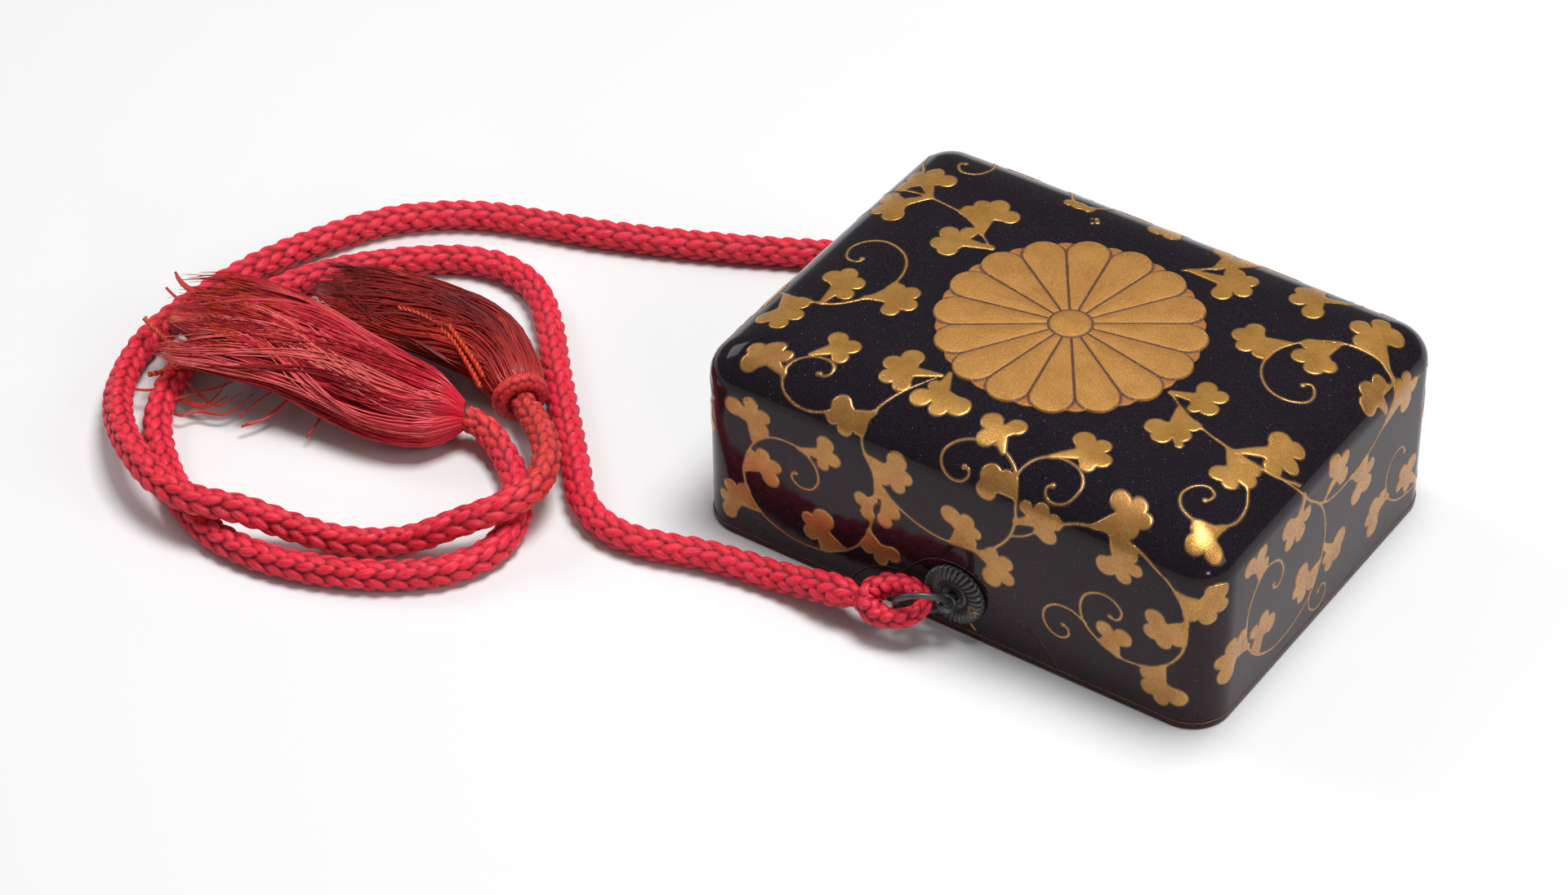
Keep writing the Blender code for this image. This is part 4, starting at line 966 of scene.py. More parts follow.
class Relief:
    """Depth inside a pattern, in millimetres, over a grid of one chart."""

    def __init__(self, chart, reach, cell=CELL_MM):
        self.chart, self.low, self.cell = chart, np.array(reach[0], float), cell
        counts = np.ceil((np.array(reach[1]) - self.low) / cell).astype(int) + 1
        self.vines = np.full(tuple(counts), BARE_MM)
        self.leaves = np.full(tuple(counts), BARE_MM)

    def blob(self, field, start, end, first_radius, last_radius):
        """Add the shape of a bar that tapers between two discs."""
        start, end = np.asarray(start, float), np.asarray(end, float)
        reach = max(first_radius, last_radius) + 4 * CELL_MM
        lowest = np.floor((np.minimum(start, end) - reach - self.low) / self.cell).astype(int)
        highest = np.ceil((np.maximum(start, end) + reach - self.low) / self.cell).astype(int) + 1
        lowest, highest = np.maximum(lowest, 0), np.minimum(highest, field.shape)
        if (highest <= lowest).any():
            return
        a = self.low[0] + self.cell * np.arange(lowest[0], highest[0])[:, None]
        b = self.low[1] + self.cell * np.arange(lowest[1], highest[1])[None, :]
        run = end - start
        share = np.clip(((a - start[0]) * run[0] + (b - start[1]) * run[1]) / max(run @ run, 1e-9), 0, 1)
        away = np.hypot(a - start[0] - share * run[0], b - start[1] - share * run[1])
        window = field[lowest[0]:highest[0], lowest[1]:highest[1]]
        np.maximum(window, first_radius + (last_radius - first_radius) * share - away, out=window)

    def vine(self, first_width, last_width, points, knob=True):
        line = spline_mm(points, VINE_STEP_MM)
        radii = VINE_RADIUS_SHARE * np.linspace(first_width, last_width, len(line))
        for i in range(len(line) - 1):
            self.blob(self.vines, line[i], line[i + 1], radii[i], radii[i + 1])
        if knob:
            self.blob(self.vines, line[-1], line[-1], KNOB_MM, KNOB_MM)

    def leaf(self, x, y, lobes):
        centres = np.array([lobe[:2] for lobe in lobes])
        root = np.array((x, y), float)
        middle = LEAF_MIDDLE_SHARE * centres.mean(0) + (1 - LEAF_MIDDLE_SHARE) * root
        self.blob(self.leaves, root, middle, LEAF_ROOT_MM, LEAF_MIDDLE_MM)
        for centre, (_, _, radius) in zip(centres, lobes):
            self.blob(self.leaves, middle, centre, LEAF_NECK_MM, LEAF_NECK_SHARE * radius)
            self.blob(self.leaves, centre, centre, radius, radius)

    def draw(self, vines, leaves, shift=0.0):
        """Add vines and leaves, shifted along the first direction."""
        for first_width, last_width, points in vines:
            self.vine(first_width, last_width, [(a + shift, b) for a, b in points])
        for x, y, lobes in leaves:
            self.leaf(x + shift, y, [(a + shift, b, radius) for a, b, radius in lobes])

    def join(self, low=-math.inf, high=math.inf):
        """Make one pattern of vines and leaves, within a range of the second direction."""
        near = np.maximum(1 - np.abs(self.vines - self.leaves) / FILLET_MM, 0)
        self.depth = np.maximum(self.vines, self.leaves) + near ** 2 * FILLET_MM / 4
        bare = self.depth < 0
        open_ground = self.depth < -HOLE_MM
        for _ in range(HOLE_STEPS):
            open_ground[1:] |= open_ground[:-1]
            open_ground[:-1] |= open_ground[1:]
            open_ground[:, 1:] |= open_ground[:, :-1]
            open_ground[:, :-1] |= open_ground[:, 1:]
            open_ground &= bare
        self.depth[bare & ~open_ground] = HOLE_MM / 2
        rows = self.low[1] + self.cell * np.arange(self.depth.shape[1])
        self.depth[:, (rows < low) | (rows > high)] = BARE_MM

    def mesh(self, depth):
        """Points in the chart, their depths and the faces where a depth is above nought."""
        inside = depth > 0
        busy = inside[:-1, :-1] | inside[1:, :-1] | inside[1:, 1:] | inside[:-1, 1:]
        index, places, depths, faces = {}, [], [], []

        def vertex(key, i, j, value):
            if key not in index:
                index[key] = len(places)
                places.append((i, j))
                depths.append(value)
            return index[key]

        for i, j in np.argwhere(busy):
            ring = ((i, j), (i + 1, j), (i + 1, j + 1), (i, j + 1))
            face = []
            for here, there in zip(ring, ring[1:] + ring[:1]):
                first, last = depth[here], depth[there]
                if first > 0:
                    face.append(vertex(here, here[0], here[1], first))
                if (first > 0) != (last > 0):
                    share = min(max(first / (first - last), 0.06), 0.94)
                    key = (min(here, there), max(here, there))
                    face.append(vertex(key, here[0] + share * (there[0] - here[0]),
                                       here[1] + share * (there[1] - here[1]), 0.0))
            if len(face) > 2:
                faces.append(face)
        return self.low + self.cell * np.array(places, float), np.array(depths), faces

    def piece(self, name, depth, height, material):
        """A low raised piece where a depth is above nought, with heights from a function of the depth."""
        places, depths, faces = self.mesh(depth)
        points = raised_mm(self.chart, places[:, 0], places[:, 1], height(depths)) * MM
        return finish_piece(mesh_object(name, points, faces, material), "lacquer")

    def pieces(self, label, material):
        """The gold and, round it, its brown outline, partly a painted shade at the gold's edge."""
        def gold_height(depths):
            swell = np.sqrt(1 - (1 - np.clip(depths / GOLD_ROUND_MM, 0, 1)) ** 2)
            return GOLD_RISE_MM * swell + GOLD_LIFT_MM * (depths > 0) - GOLD_SUNK_MM

        def outline_height(depths):
            return OUTLINE_RISE_MM * np.clip(depths / OUTLINE_ROUND_MM, 0, 1) - OUTLINE_SUNK_MM

        around = np.minimum(self.depth + OUTLINE_MM, OUTLINE_UNDER_MM - self.depth)
        self.piece("gold_vines_" + label, self.depth, gold_height, material)
        self.piece("outline_" + label, around, outline_height, OUTLINE)


def make_vines():
    """Gold vines and their brown outlines, partly painted shade, on the walls all round and on the top."""
    walls = Relief(band_mm, WALL_RANGE)
    walls.draw(BAND_VINES, BAND_LEAVES)
    walls.vine(*STEM, knob=False)
    walls.join(*WALL_STOPS)
    walls.pieces("front_right", GOLD_WALL)
    hidden = Relief(band_mm, HIDDEN_RANGE, HIDDEN_CELL_MM)
    hidden.draw(BAND_VINES, BAND_LEAVES, HALF_ROUND_MM)
    hidden.join(*HIDDEN_STOPS)
    hidden.pieces("back_left", GOLD_WALL)
    top = Relief(plan_mm, TOP_RANGE)
    top.draw(PLAN_VINES, PLAN_LEAVES)
    for x, y, radius in WORN_SPOTS:
        top.blob(top.leaves, (x, y), (x, y), radius, radius)
    top.join()
    top.pieces("top", GOLD_TOP)


# Chrysanthemum: heights and reaches of its petals and engraved lines, in millimetres

PETAL_STEPS = 28
PETAL_BASE_SHARE = 0.78
PETAL_DOME_MM = 0.16
PETAL_DOME_REACH_MM = 3.2
UNDER_BASE_SHARE = 0.5
UNDER_END_MM = 3.1
UNDER_SHORTER_MM = 0.75
LINE_HALF_MM = 0.27
LINE_DEPTH_MM = 0.26
BUTTON_LINE_HALF_MM = 0.24
BUTTON_SEAT_SHARE = 0.8
RIM_MM = 0.4
RIM_SUNK_MM = 0.05
BUTTON_LINE_OUT_MM = 0.1
SMOOTH_END_MM = 19
BUTTON_RINGS = 14
INNER_RINGS = 14
OUTER_RINGS = 46


def tips_mm(centre, end, angle):
    """How far from the middle a petal's round end reaches, at angles from the petal's own line."""
    return centre * np.cos(angle) + np.sqrt(np.maximum(end ** 2 - (centre * np.sin(angle)) ** 2, 0))


def make_medallion():
    """Sixteen petals with round ends over a second layer, parted by engraved lines, round a button."""
    rise, reach, button = MEDALLION_RISE / MM, MEDALLION_RADIUS / MM, BUTTON_RADIUS / MM
    half = math.pi / PETALS
    centre = reach / (1 + math.sin(half))
    end = centre * math.sin(half)
    across = np.sin(np.linspace(-1, 1, PETAL_STEPS + 1)[:-1] * math.pi / 2)
    turns = (np.arange(PETALS)[:, None] * 2 * half + across[None] * half).ravel()
    within = np.tile(np.abs(across) * half, PETALS)
    sideways = np.sign(np.tile(across, PETALS))
    under_tips = tips_mm(reach - UNDER_SHORTER_MM - UNDER_END_MM, UNDER_END_MM, half - within)
    outer = np.maximum(tips_mm(centre, end, within), under_tips)
    rings = np.concatenate([
        np.linspace(0.04, 1, BUTTON_RINGS) * button, button + np.array([0.1, 0.22, 0.34, 0.5, 0.8]),
        np.linspace(button + 1.3, SMOOTH_END_MM, INNER_RINGS),
        np.linspace(SMOOTH_END_MM + 0.2, reach - RIM_MM, OUTER_RINGS)])
    radii = [np.minimum(ring, outer - RIM_MM * (1 + (reach - ring) / reach * 0.01)) for ring in rings]
    radii += [outer - 0.25, outer - 0.1, outer]
    points, grooves, unders, brushes = [], [], [], []
    for radius in radii:
        x, y = radius * np.cos(turns), radius * np.sin(turns)
        round_end = radius * np.cos(half - within) > centre * math.cos(half)
        away = end - np.hypot(radius * np.cos(within) - centre, radius * np.sin(within))
        inner = np.where(round_end, away, radius * np.sin(half - within))
        line = np.clip(1 - (np.abs(inner) / LINE_HALF_MM) ** 2, 0, 1)
        petal = inner > 0
        dome = PETAL_DOME_MM * (1 - (1 - np.clip(inner / PETAL_DOME_REACH_MM, 0, 1)) ** 2)
        height = np.where(petal, rise * PETAL_BASE_SHARE + dome, rise * UNDER_BASE_SHARE)
        height = height - LINE_DEPTH_MM * line
        rim = np.clip((outer - radius) / RIM_MM, 0, 1)
        height = height * np.sqrt(1 - (1 - rim) ** 2) - RIM_SUNK_MM * (rim == 0)
        from_line = radius - button - BUTTON_LINE_OUT_MM
        ring_line = np.clip(1 - (from_line / BUTTON_LINE_HALF_MM) ** 2, 0, 1)
        seat = np.minimum(height, rise * BUTTON_SEAT_SHARE - LINE_DEPTH_MM * ring_line)
        height = np.where(radius < button + 0.5, seat, height)
        swell = BUTTON_RISE / MM * np.sqrt(np.clip(1 - (radius / (button + 0.12)) ** 2 * 0.75, 0, 1))
        on_button = radius <= button
        height = np.where(on_button, swell, height)
        line = line * np.clip((outer - radius) / 0.5, 0, 1)
        between = np.maximum(line * (radius > button), ring_line)
        grooves.append(np.where(on_button, ring_line * (radius > button - 0.15), between))
        points.append(np.stack([x, y, BOX_HEIGHT / MM - crown_mm(x, y) + height], 1))
        unders.append(np.where(petal | on_button, 0.0, 1.0))
        brushes.append(np.stack([radius, np.where(petal, within * sideways * radius, 0), turns], 1))
    faces = grid_faces(len(radii), len(turns), False, True)
    faces.append(list(range(len(turns)))[::-1])
    attributes = {"groove": np.concatenate(grooves), "under": np.concatenate(unders),
                  "brush": np.concatenate(brushes)}
    return joined_piece("medallion", [(np.concatenate(points), faces, attributes)], MEDALLION_GOLD, "lacquer")


# Fittings

FLUTE_STEPS = 8
PLATE_STEP_MM = 0.14
FLUTE_LEAN = 0.28
RUBBED_AT_MM = (4.6, -1.2)
PLATE_SHARP = math.radians(50)
WIRE_SHARP = math.radians(45)
WIRE_SIDES = 20
WIRE_WEAR = 0.05
RING_STEPS = 96
CLENCH_SHAPE = np.array([0.8, 0.95, 1, 1, 0.95, 0.85])


def mirrored(point, side):
    return Vector((point.x, -side * point.y, point.z))


def staple_eye(side):
    return Vector((FITTING_X, side * STAPLE_REACH, FITTING_Z))


def make_plate(side, label):
    """Fluted rosette: rounded ridges over a raised crest, and a lower middle with finer ones."""
    edge, crest, middle = PLATE_DIAMETER / MM / 2, PLATE_CREST / MM, PLATE_CENTRE / MM
    hole = (SHANK_RADIUS + FIT_GAP) / MM
    profile = spline_mm([
        (edge, 0.0, 0.14), (edge, PLATE_RIM / MM, 0.45), (0.975 * edge, 0.55 * crest, 0.58),
        (0.92 * edge, 0.78 * crest, 0.60), (0.82 * edge, 0.95 * crest, 0.56), (0.72 * edge, crest, 0.46),
        (0.62 * edge, 0.93 * crest, 0.36), (0.54 * edge, 0.75 * crest, 0.24),
        (0.47 * edge, 0.55 * crest, 0.20), (0.42 * edge, middle + 0.06, 0.10),
        (0.38 * edge, middle + 0.22, 0.03), (0.32 * edge, middle + 0.16, 0.0), (0.25 * edge, middle, 0.0),
        (hole, middle, 0.0), (hole, 0.0, 0.0)], PLATE_STEP_MM)
    count = PLATE_FLUTES * FLUTE_STEPS
    turns = 2 * math.pi * np.arange(count) / count
    points, wear_and_glint = [], []
    for radius, height, depth in profile:
        lean = FLUTE_LEAN * (radius / edge - 0.7)
        ridge = np.abs(np.cos(PLATE_FLUTES / 2 * (turns + lean)))
        cut = depth * (1 - ridge ** 0.8)
        reach = radius - cut * (0.8 if radius > 0.9 * edge else 0.0)
        out = height - cut * (height > 0.05)
        x, z = reach * np.cos(turns), reach * np.sin(turns)
        points.append(np.stack([FITTING_X / MM + x, side * (FRONT_FACE / MM + FIT_GAP / MM + out),
                                FITTING_Z / MM + z], 1))
        spot = np.exp(-((x - RUBBED_AT_MM[0]) ** 2 + (z - RUBBED_AT_MM[1]) ** 2) / 1.6)
        # Crests of the flutes made lighter: partly worn metal, partly a painted glint of light on the ridges
        rubbed_and_glinting = 0.08 * np.clip(ridge * 2 - 1, 0, 1) * (depth > 0.2)
        wear_and_glint.append(np.clip(1.3 * spot + rubbed_and_glinting, 0, 1))
    faces = grid_faces(len(profile), count, True, True)
    mesh = (np.concatenate(points), faces, {"wear_and_glint": np.concatenate(wear_and_glint)})
    obj = joined_piece(label + "_plate_fluted", [mesh], DARK_METAL, "fittings", label + "_plate")
    obj.data.set_sharp_from_angle(angle=PLATE_SHARP)


def circle(centre, rotation, radius, count):
    turns = [2 * math.pi * i / count for i in range(count)]
    first, second = rotation @ Vector((1, 0, 0)), rotation @ Vector((0, 1, 0))
    return [centre + (first * math.cos(t) + second * math.sin(t)) * radius for t in turns]


def wire_piece(name, node, *meshes):
    """One piece of dark metal from points and faces in metres."""
    verts, faces, attributes = join_meshes(
        [(verts, faces, {"wear_and_glint": np.full(len(verts), WIRE_WEAR)}) for verts, faces in meshes])
    obj = mesh_object(name, verts, faces, DARK_METAL, attributes)
    obj.data.set_sharp_from_angle(angle=WIRE_SHARP)
    finish_piece(obj, "fittings", node)


def make_staple(side, label):
    turn = Matrix.Rotation(STAPLE_TURN, 3, "Y")
    path = circle(staple_eye(side), turn, STAPLE_EYE_RADIUS, 48)
    inside = side * (FRONT_FACE - HOLLOW_INSET - FIT_GAP)
    clench_end = inside - side * CLENCH_THICK
    meeting = side * (STAPLE_REACH - STAPLE_EYE_RADIUS)
    shank = [Vector((FITTING_X, y, FITTING_Z)) for y in np.linspace(clench_end, meeting, 12)]
    clench = [Vector((FITTING_X, y, FITTING_Z)) for y in np.linspace(clench_end, inside, len(CLENCH_SHAPE))]
    wire_piece(label + "_staple_wire", label + "_staple",
               sweep(path, STAPLE_WIRE / 2, WIRE_SIDES, closed=True), sweep(shank, SHANK_RADIUS, WIRE_SIDES),
               sweep(clench, CLENCH_RADIUS * CLENCH_SHAPE, 24))


def make_ring(side, label):
    """Plain wire ring, not quite even in thickness."""
    rotation = RISE.rotation_difference(mirrored(RING_NORMAL, side)).to_matrix()
    middle = staple_eye(side) + mirrored(RING_REACH, side) * RING_RADIUS
    path = circle(middle, rotation, RING_RADIUS, RING_STEPS)
    uneven = RING_WIRE / 2 * (1 + 0.03 * np.sin(np.arange(RING_STEPS) / RING_STEPS * 2 * math.pi * 5))
    wire_piece(label + "_ring_wire", label + "_ring", sweep(path, uneven, WIRE_SIDES, closed=True))


# Braid, worked out in millimetres

EYE_STEPS = 150
EYE_FULLER = 1.20
CORD_FULLER = 1.03
PATH_STEP_MM = 0.42
FRAY_REACH_MM = 12


def kernels(along, turn, columns, pitch, radius, lean, seed):
    """Height and fibre place of braided strands at places along and round a cord, in millimetres."""
    width = 2 * math.pi / columns
    best = np.zeros(np.broadcast(along, turn).shape)
    fibre = np.zeros(best.shape + (3,))
    nearest = np.round(turn / width)
    for shift in (-1, 0, 1):
        column = nearest + shift
        odd = np.mod(column, 2)
        slant = np.where(odd == 0, 1.0, -1.0)
        offset = odd * pitch / 2
        middle = np.round((along - offset) / pitch)
        for step in (-1, 0, 1):
            number = middle + step
            # A fixed chance from 0 to 1 for each strand
            mixed = np.sin(number * 12.9898 + np.mod(column, columns) * 78.233 + seed) * 43758.5453
            chance = np.mod(mixed, 1.0)
            ds = along - number * pitch - offset + (chance - 0.5) * 0.10 * pitch
            dx = (turn - column * width) * radius
            u = ds * np.cos(lean) + slant * dx * np.sin(lean)
            v = -slant * ds * np.sin(lean) + dx * np.cos(lean)
            size = 0.94 + 0.12 * chance
            long_share = (u - 0.06 * pitch) / (0.62 * pitch * size)
            wide_share = v / (0.55 * width * radius * size)
            left = np.maximum(1 - long_share ** 2 - wide_share ** 2, 0)
            height = left ** 0.5 * (0.78 + 0.08 * chance + 0.58 * u / pitch)
            higher = height > best
            best = np.where(higher, height, best)
            fibre = np.where(higher[..., None], np.stack([u, v, chance * 9 + 0 * u], -1), fibre)
    return best, fibre


def braid(path, radius, columns, pitch, sides, seed, lean=0.40, bump=0.30, closed=False, fray=0.0,
          swell=None):
    """Points, faces and attributes of a braided tube round a path, in millimetres. Fray is the length of
    its frayed end, and swell a function of the length gone and the whole length."""
    path = np.asarray(path, float)
    gone = np.concatenate([[0], np.cumsum(np.linalg.norm(np.diff(path, axis=0), axis=1))])
    total = gone[-1]
    if closed:
        total = total + np.linalg.norm(path[0] - path[-1])
        pitch = total / round(total / pitch)
    turns = (2 * math.pi * np.arange(sides) / sides)[None, :]
    along = gone[:, None] + 0 * turns
    turns = turns + 0 * along
    height, fibre = kernels(along, turns, columns, pitch, radius, lean, seed)
    share = np.zeros(len(path))
    if fray:
        share = np.clip((gone - (total - fray)) / FRAY_REACH_MM, 0, 1)
        height = height * (1 - 0.3 * share[:, None] * np.abs(np.sin(along * 1.9 + 3 * np.sin(turns * 2))))
    scale = 1.0 if swell is None else swell(gone, total)[:, None]
    verts, faces = sweep(path, radius * (1 - bump + bump * 1.1 * height) * scale, sides, closed)
    fade = np.repeat(share, sides)
    return verts, faces, {"crest": height.ravel(), "fibre": fibre.reshape(-1, 3), "fade": fade}


def eye_frame(side):
    run = mirrored(EYE_RUN, side)
    normal = mirrored(RING_NORMAL, side)
    short = (normal - run * normal.dot(run)).normalized()
    near = staple_eye(side) + mirrored(RING_REACH, side) * EYE_FROM_STAPLE
    return near + run * EYE_HALF_LENGTH, run, short


def eye_swell(gone, _):
    """Fuller along both sides of the eye, and fullest where the cord is sewn back into itself."""
    turns = 2 * math.pi * np.arange(len(gone)) / len(gone)
    return 1 + 0.20 * np.sin(turns) ** 2 + 0.60 * np.clip(np.cos(turns), 0, 1) ** 1.3


def make_cord_eye(side, label, silk, slot):
    middle, run, short = eye_frame(side)
    along, across = run * EYE_HALF_LENGTH, short * EYE_HALF_WIDTH
    turns = 2 * math.pi * np.arange(EYE_STEPS) / EYE_STEPS
    path = [(middle + along * math.cos(turn) + across * math.sin(turn)) / MM for turn in turns]
    mesh = braid(path, EYE_STRAND / MM / 2 * EYE_FULLER, columns=6, pitch=2.7, sides=36, seed=2.0, lean=0.6,
                 bump=0.34, closed=True, swell=eye_swell)
    return joined_piece(label + "_cord_eye_braid", [mesh], silk, slot, label + "_cord_eye")


def cord_swell(gone, total):
    """Narrow at the eye, a little fuller where its end is sewn back, then even."""
    neck = 0.62 + 0.38 * np.clip(gone / 4.0, 0, 1)
    sewn = 0.07 * np.exp(-((gone - 7.5) / 4.0) ** 2)
    tail = 1 - 0.08 * np.clip((gone - total + 5) / 5, 0, 1)
    return (neck + sewn) * tail


def make_cord(side, label, route, silk, slot, fray):
    """The braided cord, and the path of its middle in metres."""
    middle, run, _ = eye_frame(side)
    start = middle + run * (EYE_HALF_LENGTH + EYE_STRAND / 2 + FIT_GAP)
    path = spline_mm([tuple(start / MM)] + route, PATH_STEP_MM)
    mesh = braid(path, CORD_DIAMETER / MM / 2 * CORD_FULLER, columns=8, pitch=4.1, sides=48, seed=1.0 + side,
                 fray=fray, swell=cord_swell)
    return joined_piece(label + "_cord_braid", [mesh], silk, slot, label + "_cord"), path * MM


# Tassels, worked out in millimetres; a clump's ranges are drawn in the order given

TASSEL_STEP_MM = 1.2
NECK_LIFT_MM = 0.3
CORE_SIDES = 128
CORE_SHARE = 0.88
CORE_SHADE = 0.35
CORE_RIBS = ((29, 0.026), (47, 0.020), (17, 0.020), (7, 0.015))
CLUMPS = 120
CLUMP_THREADS = 9
CLUMP_RANGES = {
    "turn": (0, 2 * math.pi), "swing": (-0.75, 0.75), "beat": (2.5, 7), "phase": (0, 6), "out": (0.88, 1.05),
    "lift": (0.0, 0.11), "spread": (0.03, 0.12), "end": (0.80, 0.99),
}
TONE_RANGE = (-0.15, 1.1)
TONE_DRIFT = 0.09
THREAD_RANGE_MM = (0.14, 0.24)
THREAD_POINTS = 17
THREAD_SIDES = 4


def tassel_frame(path, sections):
    """Spine, cross directions and half sizes along a tassel, from its neck to its tips, in millimetres."""
    leaving = path[-1] - path[-2]
    leaving /= np.linalg.norm(leaving)
    neck = np.concatenate([path[-1] / MM + leaving * NECK_LIFT_MM, [NECK_DIAMETER / MM, NECK_DIAMETER / MM]])
    rows = spline_mm([tuple(neck)] + sections, TASSEL_STEP_MM)
    spine = rows[:, :3]
    along = np.gradient(spine, axis=0)
    along /= np.linalg.norm(along, axis=1)[:, None]
    sideways = np.cross(along, (0, 0, 1.0))
    sideways /= np.linalg.norm(sideways, axis=1)[:, None]
    return spine, sideways, np.cross(sideways, along), rows[:, 3] / 2, rows[:, 4] / 2


def tassel_core(place, shade, chance):
    """Soft body under the loose threads, ribbed like them, that tapers off inside them."""
    spine, sideways, upward, wide, high = place
    count = len(spine)
    turns = 2 * math.pi * np.arange(CORE_SIDES) / CORE_SIDES
    shares = np.linspace(0, 1, count)[:, None]
    ribs = np.zeros((count, CORE_SIDES))
    for number, depth in CORE_RIBS:
        drift = chance.uniform(1.5, 3.0) * np.sin(chance.uniform(2.0, 4.0) * shares + chance.uniform(0, 6))
        ribs += depth * np.sin(number * turns[None] + drift + chance.uniform(0, 6))
    taper = np.ones(count)
    third = count // 3
    taper[-third:] = np.linspace(1, 0.12, third) ** 0.7
    scale = (CORE_SHARE + ribs) * taper[:, None]
    points = (spine[:, None] + sideways[:, None] * (wide[:, None] * np.cos(turns) * scale)[..., None]
              + upward[:, None] * (high[:, None] * np.sin(turns) * scale)[..., None])
    faces = grid_faces(count, CORE_SIDES, False, True)
    faces.append(list(range(CORE_SIDES))[::-1])
    faces.append(list(range((count - 1) * CORE_SIDES, count * CORE_SIDES)))
    shades = np.clip(shade + 3.0 * ribs, 0, 1)
    run = shares + 0 * shades
    return points.reshape(-1, 3), faces, {"shade": shades.ravel(), "run": run.ravel()}


def loose_thread(place, chance, clump, shade, radius):
    """One thread that follows the tassel, with its clump's wave and a wave of its own."""
    last = len(place[0]) - 1
    end = clump["end"] + chance.uniform(-0.07, 0.05)
    shares = np.linspace(0.0, end, THREAD_POINTS)
    at = np.minimum(shares, 1) * last
    rows = np.stack([np.interp(at, np.arange(last + 1), column) for column in np.column_stack(place).T], 1)
    middle, sideways, upward, wide, high = rows[:, :3], rows[:, 3:6], rows[:, 6:9], rows[:, 9], rows[:, 10]
    onward = (place[0][-1] - place[0][-3]) / np.linalg.norm(place[0][-1] - place[0][-3])
    beyond = np.maximum(shares - 1, 0) * last * TASSEL_STEP_MM
    turn = clump["turn"] + chance.gauss(0, clump["spread"])
    sway = np.sin(clump["beat"] * shares + clump["phase"])
    turn = turn + clump["swing"] * sway * np.minimum(shares * 1.6, 1)
    turn = turn + 0.06 * np.sin(chance.uniform(7, 13) * shares + chance.uniform(0, 6))
    out = clump["out"] + chance.uniform(-0.05, 0.04)
    heave = np.sin(clump["beat"] * 1.7 * shares + clump["phase"])
    out = out + clump["lift"] * heave * np.minimum(shares * 2, 1)
    points = (middle + onward * beyond[:, None] + sideways * (wide * np.cos(turn) * out)[:, None]
              + upward * (high * np.sin(turn) * out)[:, None])
    sizes = radius * np.interp(shares, (0, 0.75 * end, end), (1.0, 1.0, 0.3))
    verts, faces = sweep(points, sizes, THREAD_SIDES, caps=False)
    run = np.repeat(np.minimum(shares, 1), THREAD_SIDES)
    return verts, faces, {"shade": np.full(len(verts), shade), "run": run}


def make_tassel(label, place, threads, slot, seed, shades):
    """Clumps of loose threads round a soft body, from a dark to a light shade."""
    chance = random.Random(seed)
    dark, light = shades
    meshes = [tassel_core(place, CORE_SHADE * (dark + light), chance)]
    for _ in range(CLUMPS):
        clump = {key: chance.uniform(*reach) for key, reach in CLUMP_RANGES.items()}
        tone = chance.uniform(*TONE_RANGE)
        for _ in range(CLUMP_THREADS):
            shade = dark + (light - dark) * min(max(tone + chance.gauss(0, TONE_DRIFT), 0), 1)
            meshes.append(loose_thread(place, chance, clump, shade, chance.uniform(*THREAD_RANGE_MM)))
    return joined_piece(label + "_tassel_threads", meshes, threads, slot, label + "_tassel")


# Twisted orange threads and thin stray ones: x, y and z in millimetres

TWIST_STEP_MM = 0.45
TWIST_RADIUS_MM = 0.36
TWIST_PITCH_MM = 2.4
WISP_STEP_MM = 1.0
WISP_RADIUS_MM = 0.20
WISP_APART_MM = 0.3
COLLAR_AT = 2
COLLAR_MM = 4.2
COLLAR_STRAND_MM = 2.05
COLLAR_STEPS = 90
COLLAR_FADE = 0.8

FRONT_TWISTS = [
    [(-189.6, -67.2, 10.5), (-183.2, -69.6, 10.5), (-177.6, -71.0, 10), (-171.7, -71.5, 9.8),
        (-165.8, -70.8, 9.6), (-159.7, -70.2, 9.4), (-154.3, -69.0, 9.2), (-150.3, -68.6, 9),
        (-146.2, -68.2, 8.8), (-141.9, -67.6, 8.4), (-136.3, -66.6, 8.0), (-131, -65.6, 6.5)],
    [(-180.4, -77.4, 6), (-178.2, -75.1, 6.2), (-176.1, -72.4, 6.6), (-173.2, -70.5, 7),
        (-169.1, -69.4, 7.4)],
]
BACK_TWISTS = [
    [(-116.6, -45.0, 9.0), (-118.8, -43.8, 10.2), (-122.8, -41.6, 11.4), (-127.8, -39.2, 12.8),
        (-133.4, -37.6, 13.6), (-138.8, -37.0, 13.9), (-144.0, -37.4, 13.6)],
    [(-117.0, -43.2, 10.4), (-119.8, -41.8, 11.8), (-124.8, -39.6, 13.2), (-130.8, -36.8, 14.2)],
    [(-134.5, -42.6, 11.0), (-139.0, -41.4, 11.6), (-142.6, -42.0, 11.4), (-145.6, -42.6, 11.0)],
]
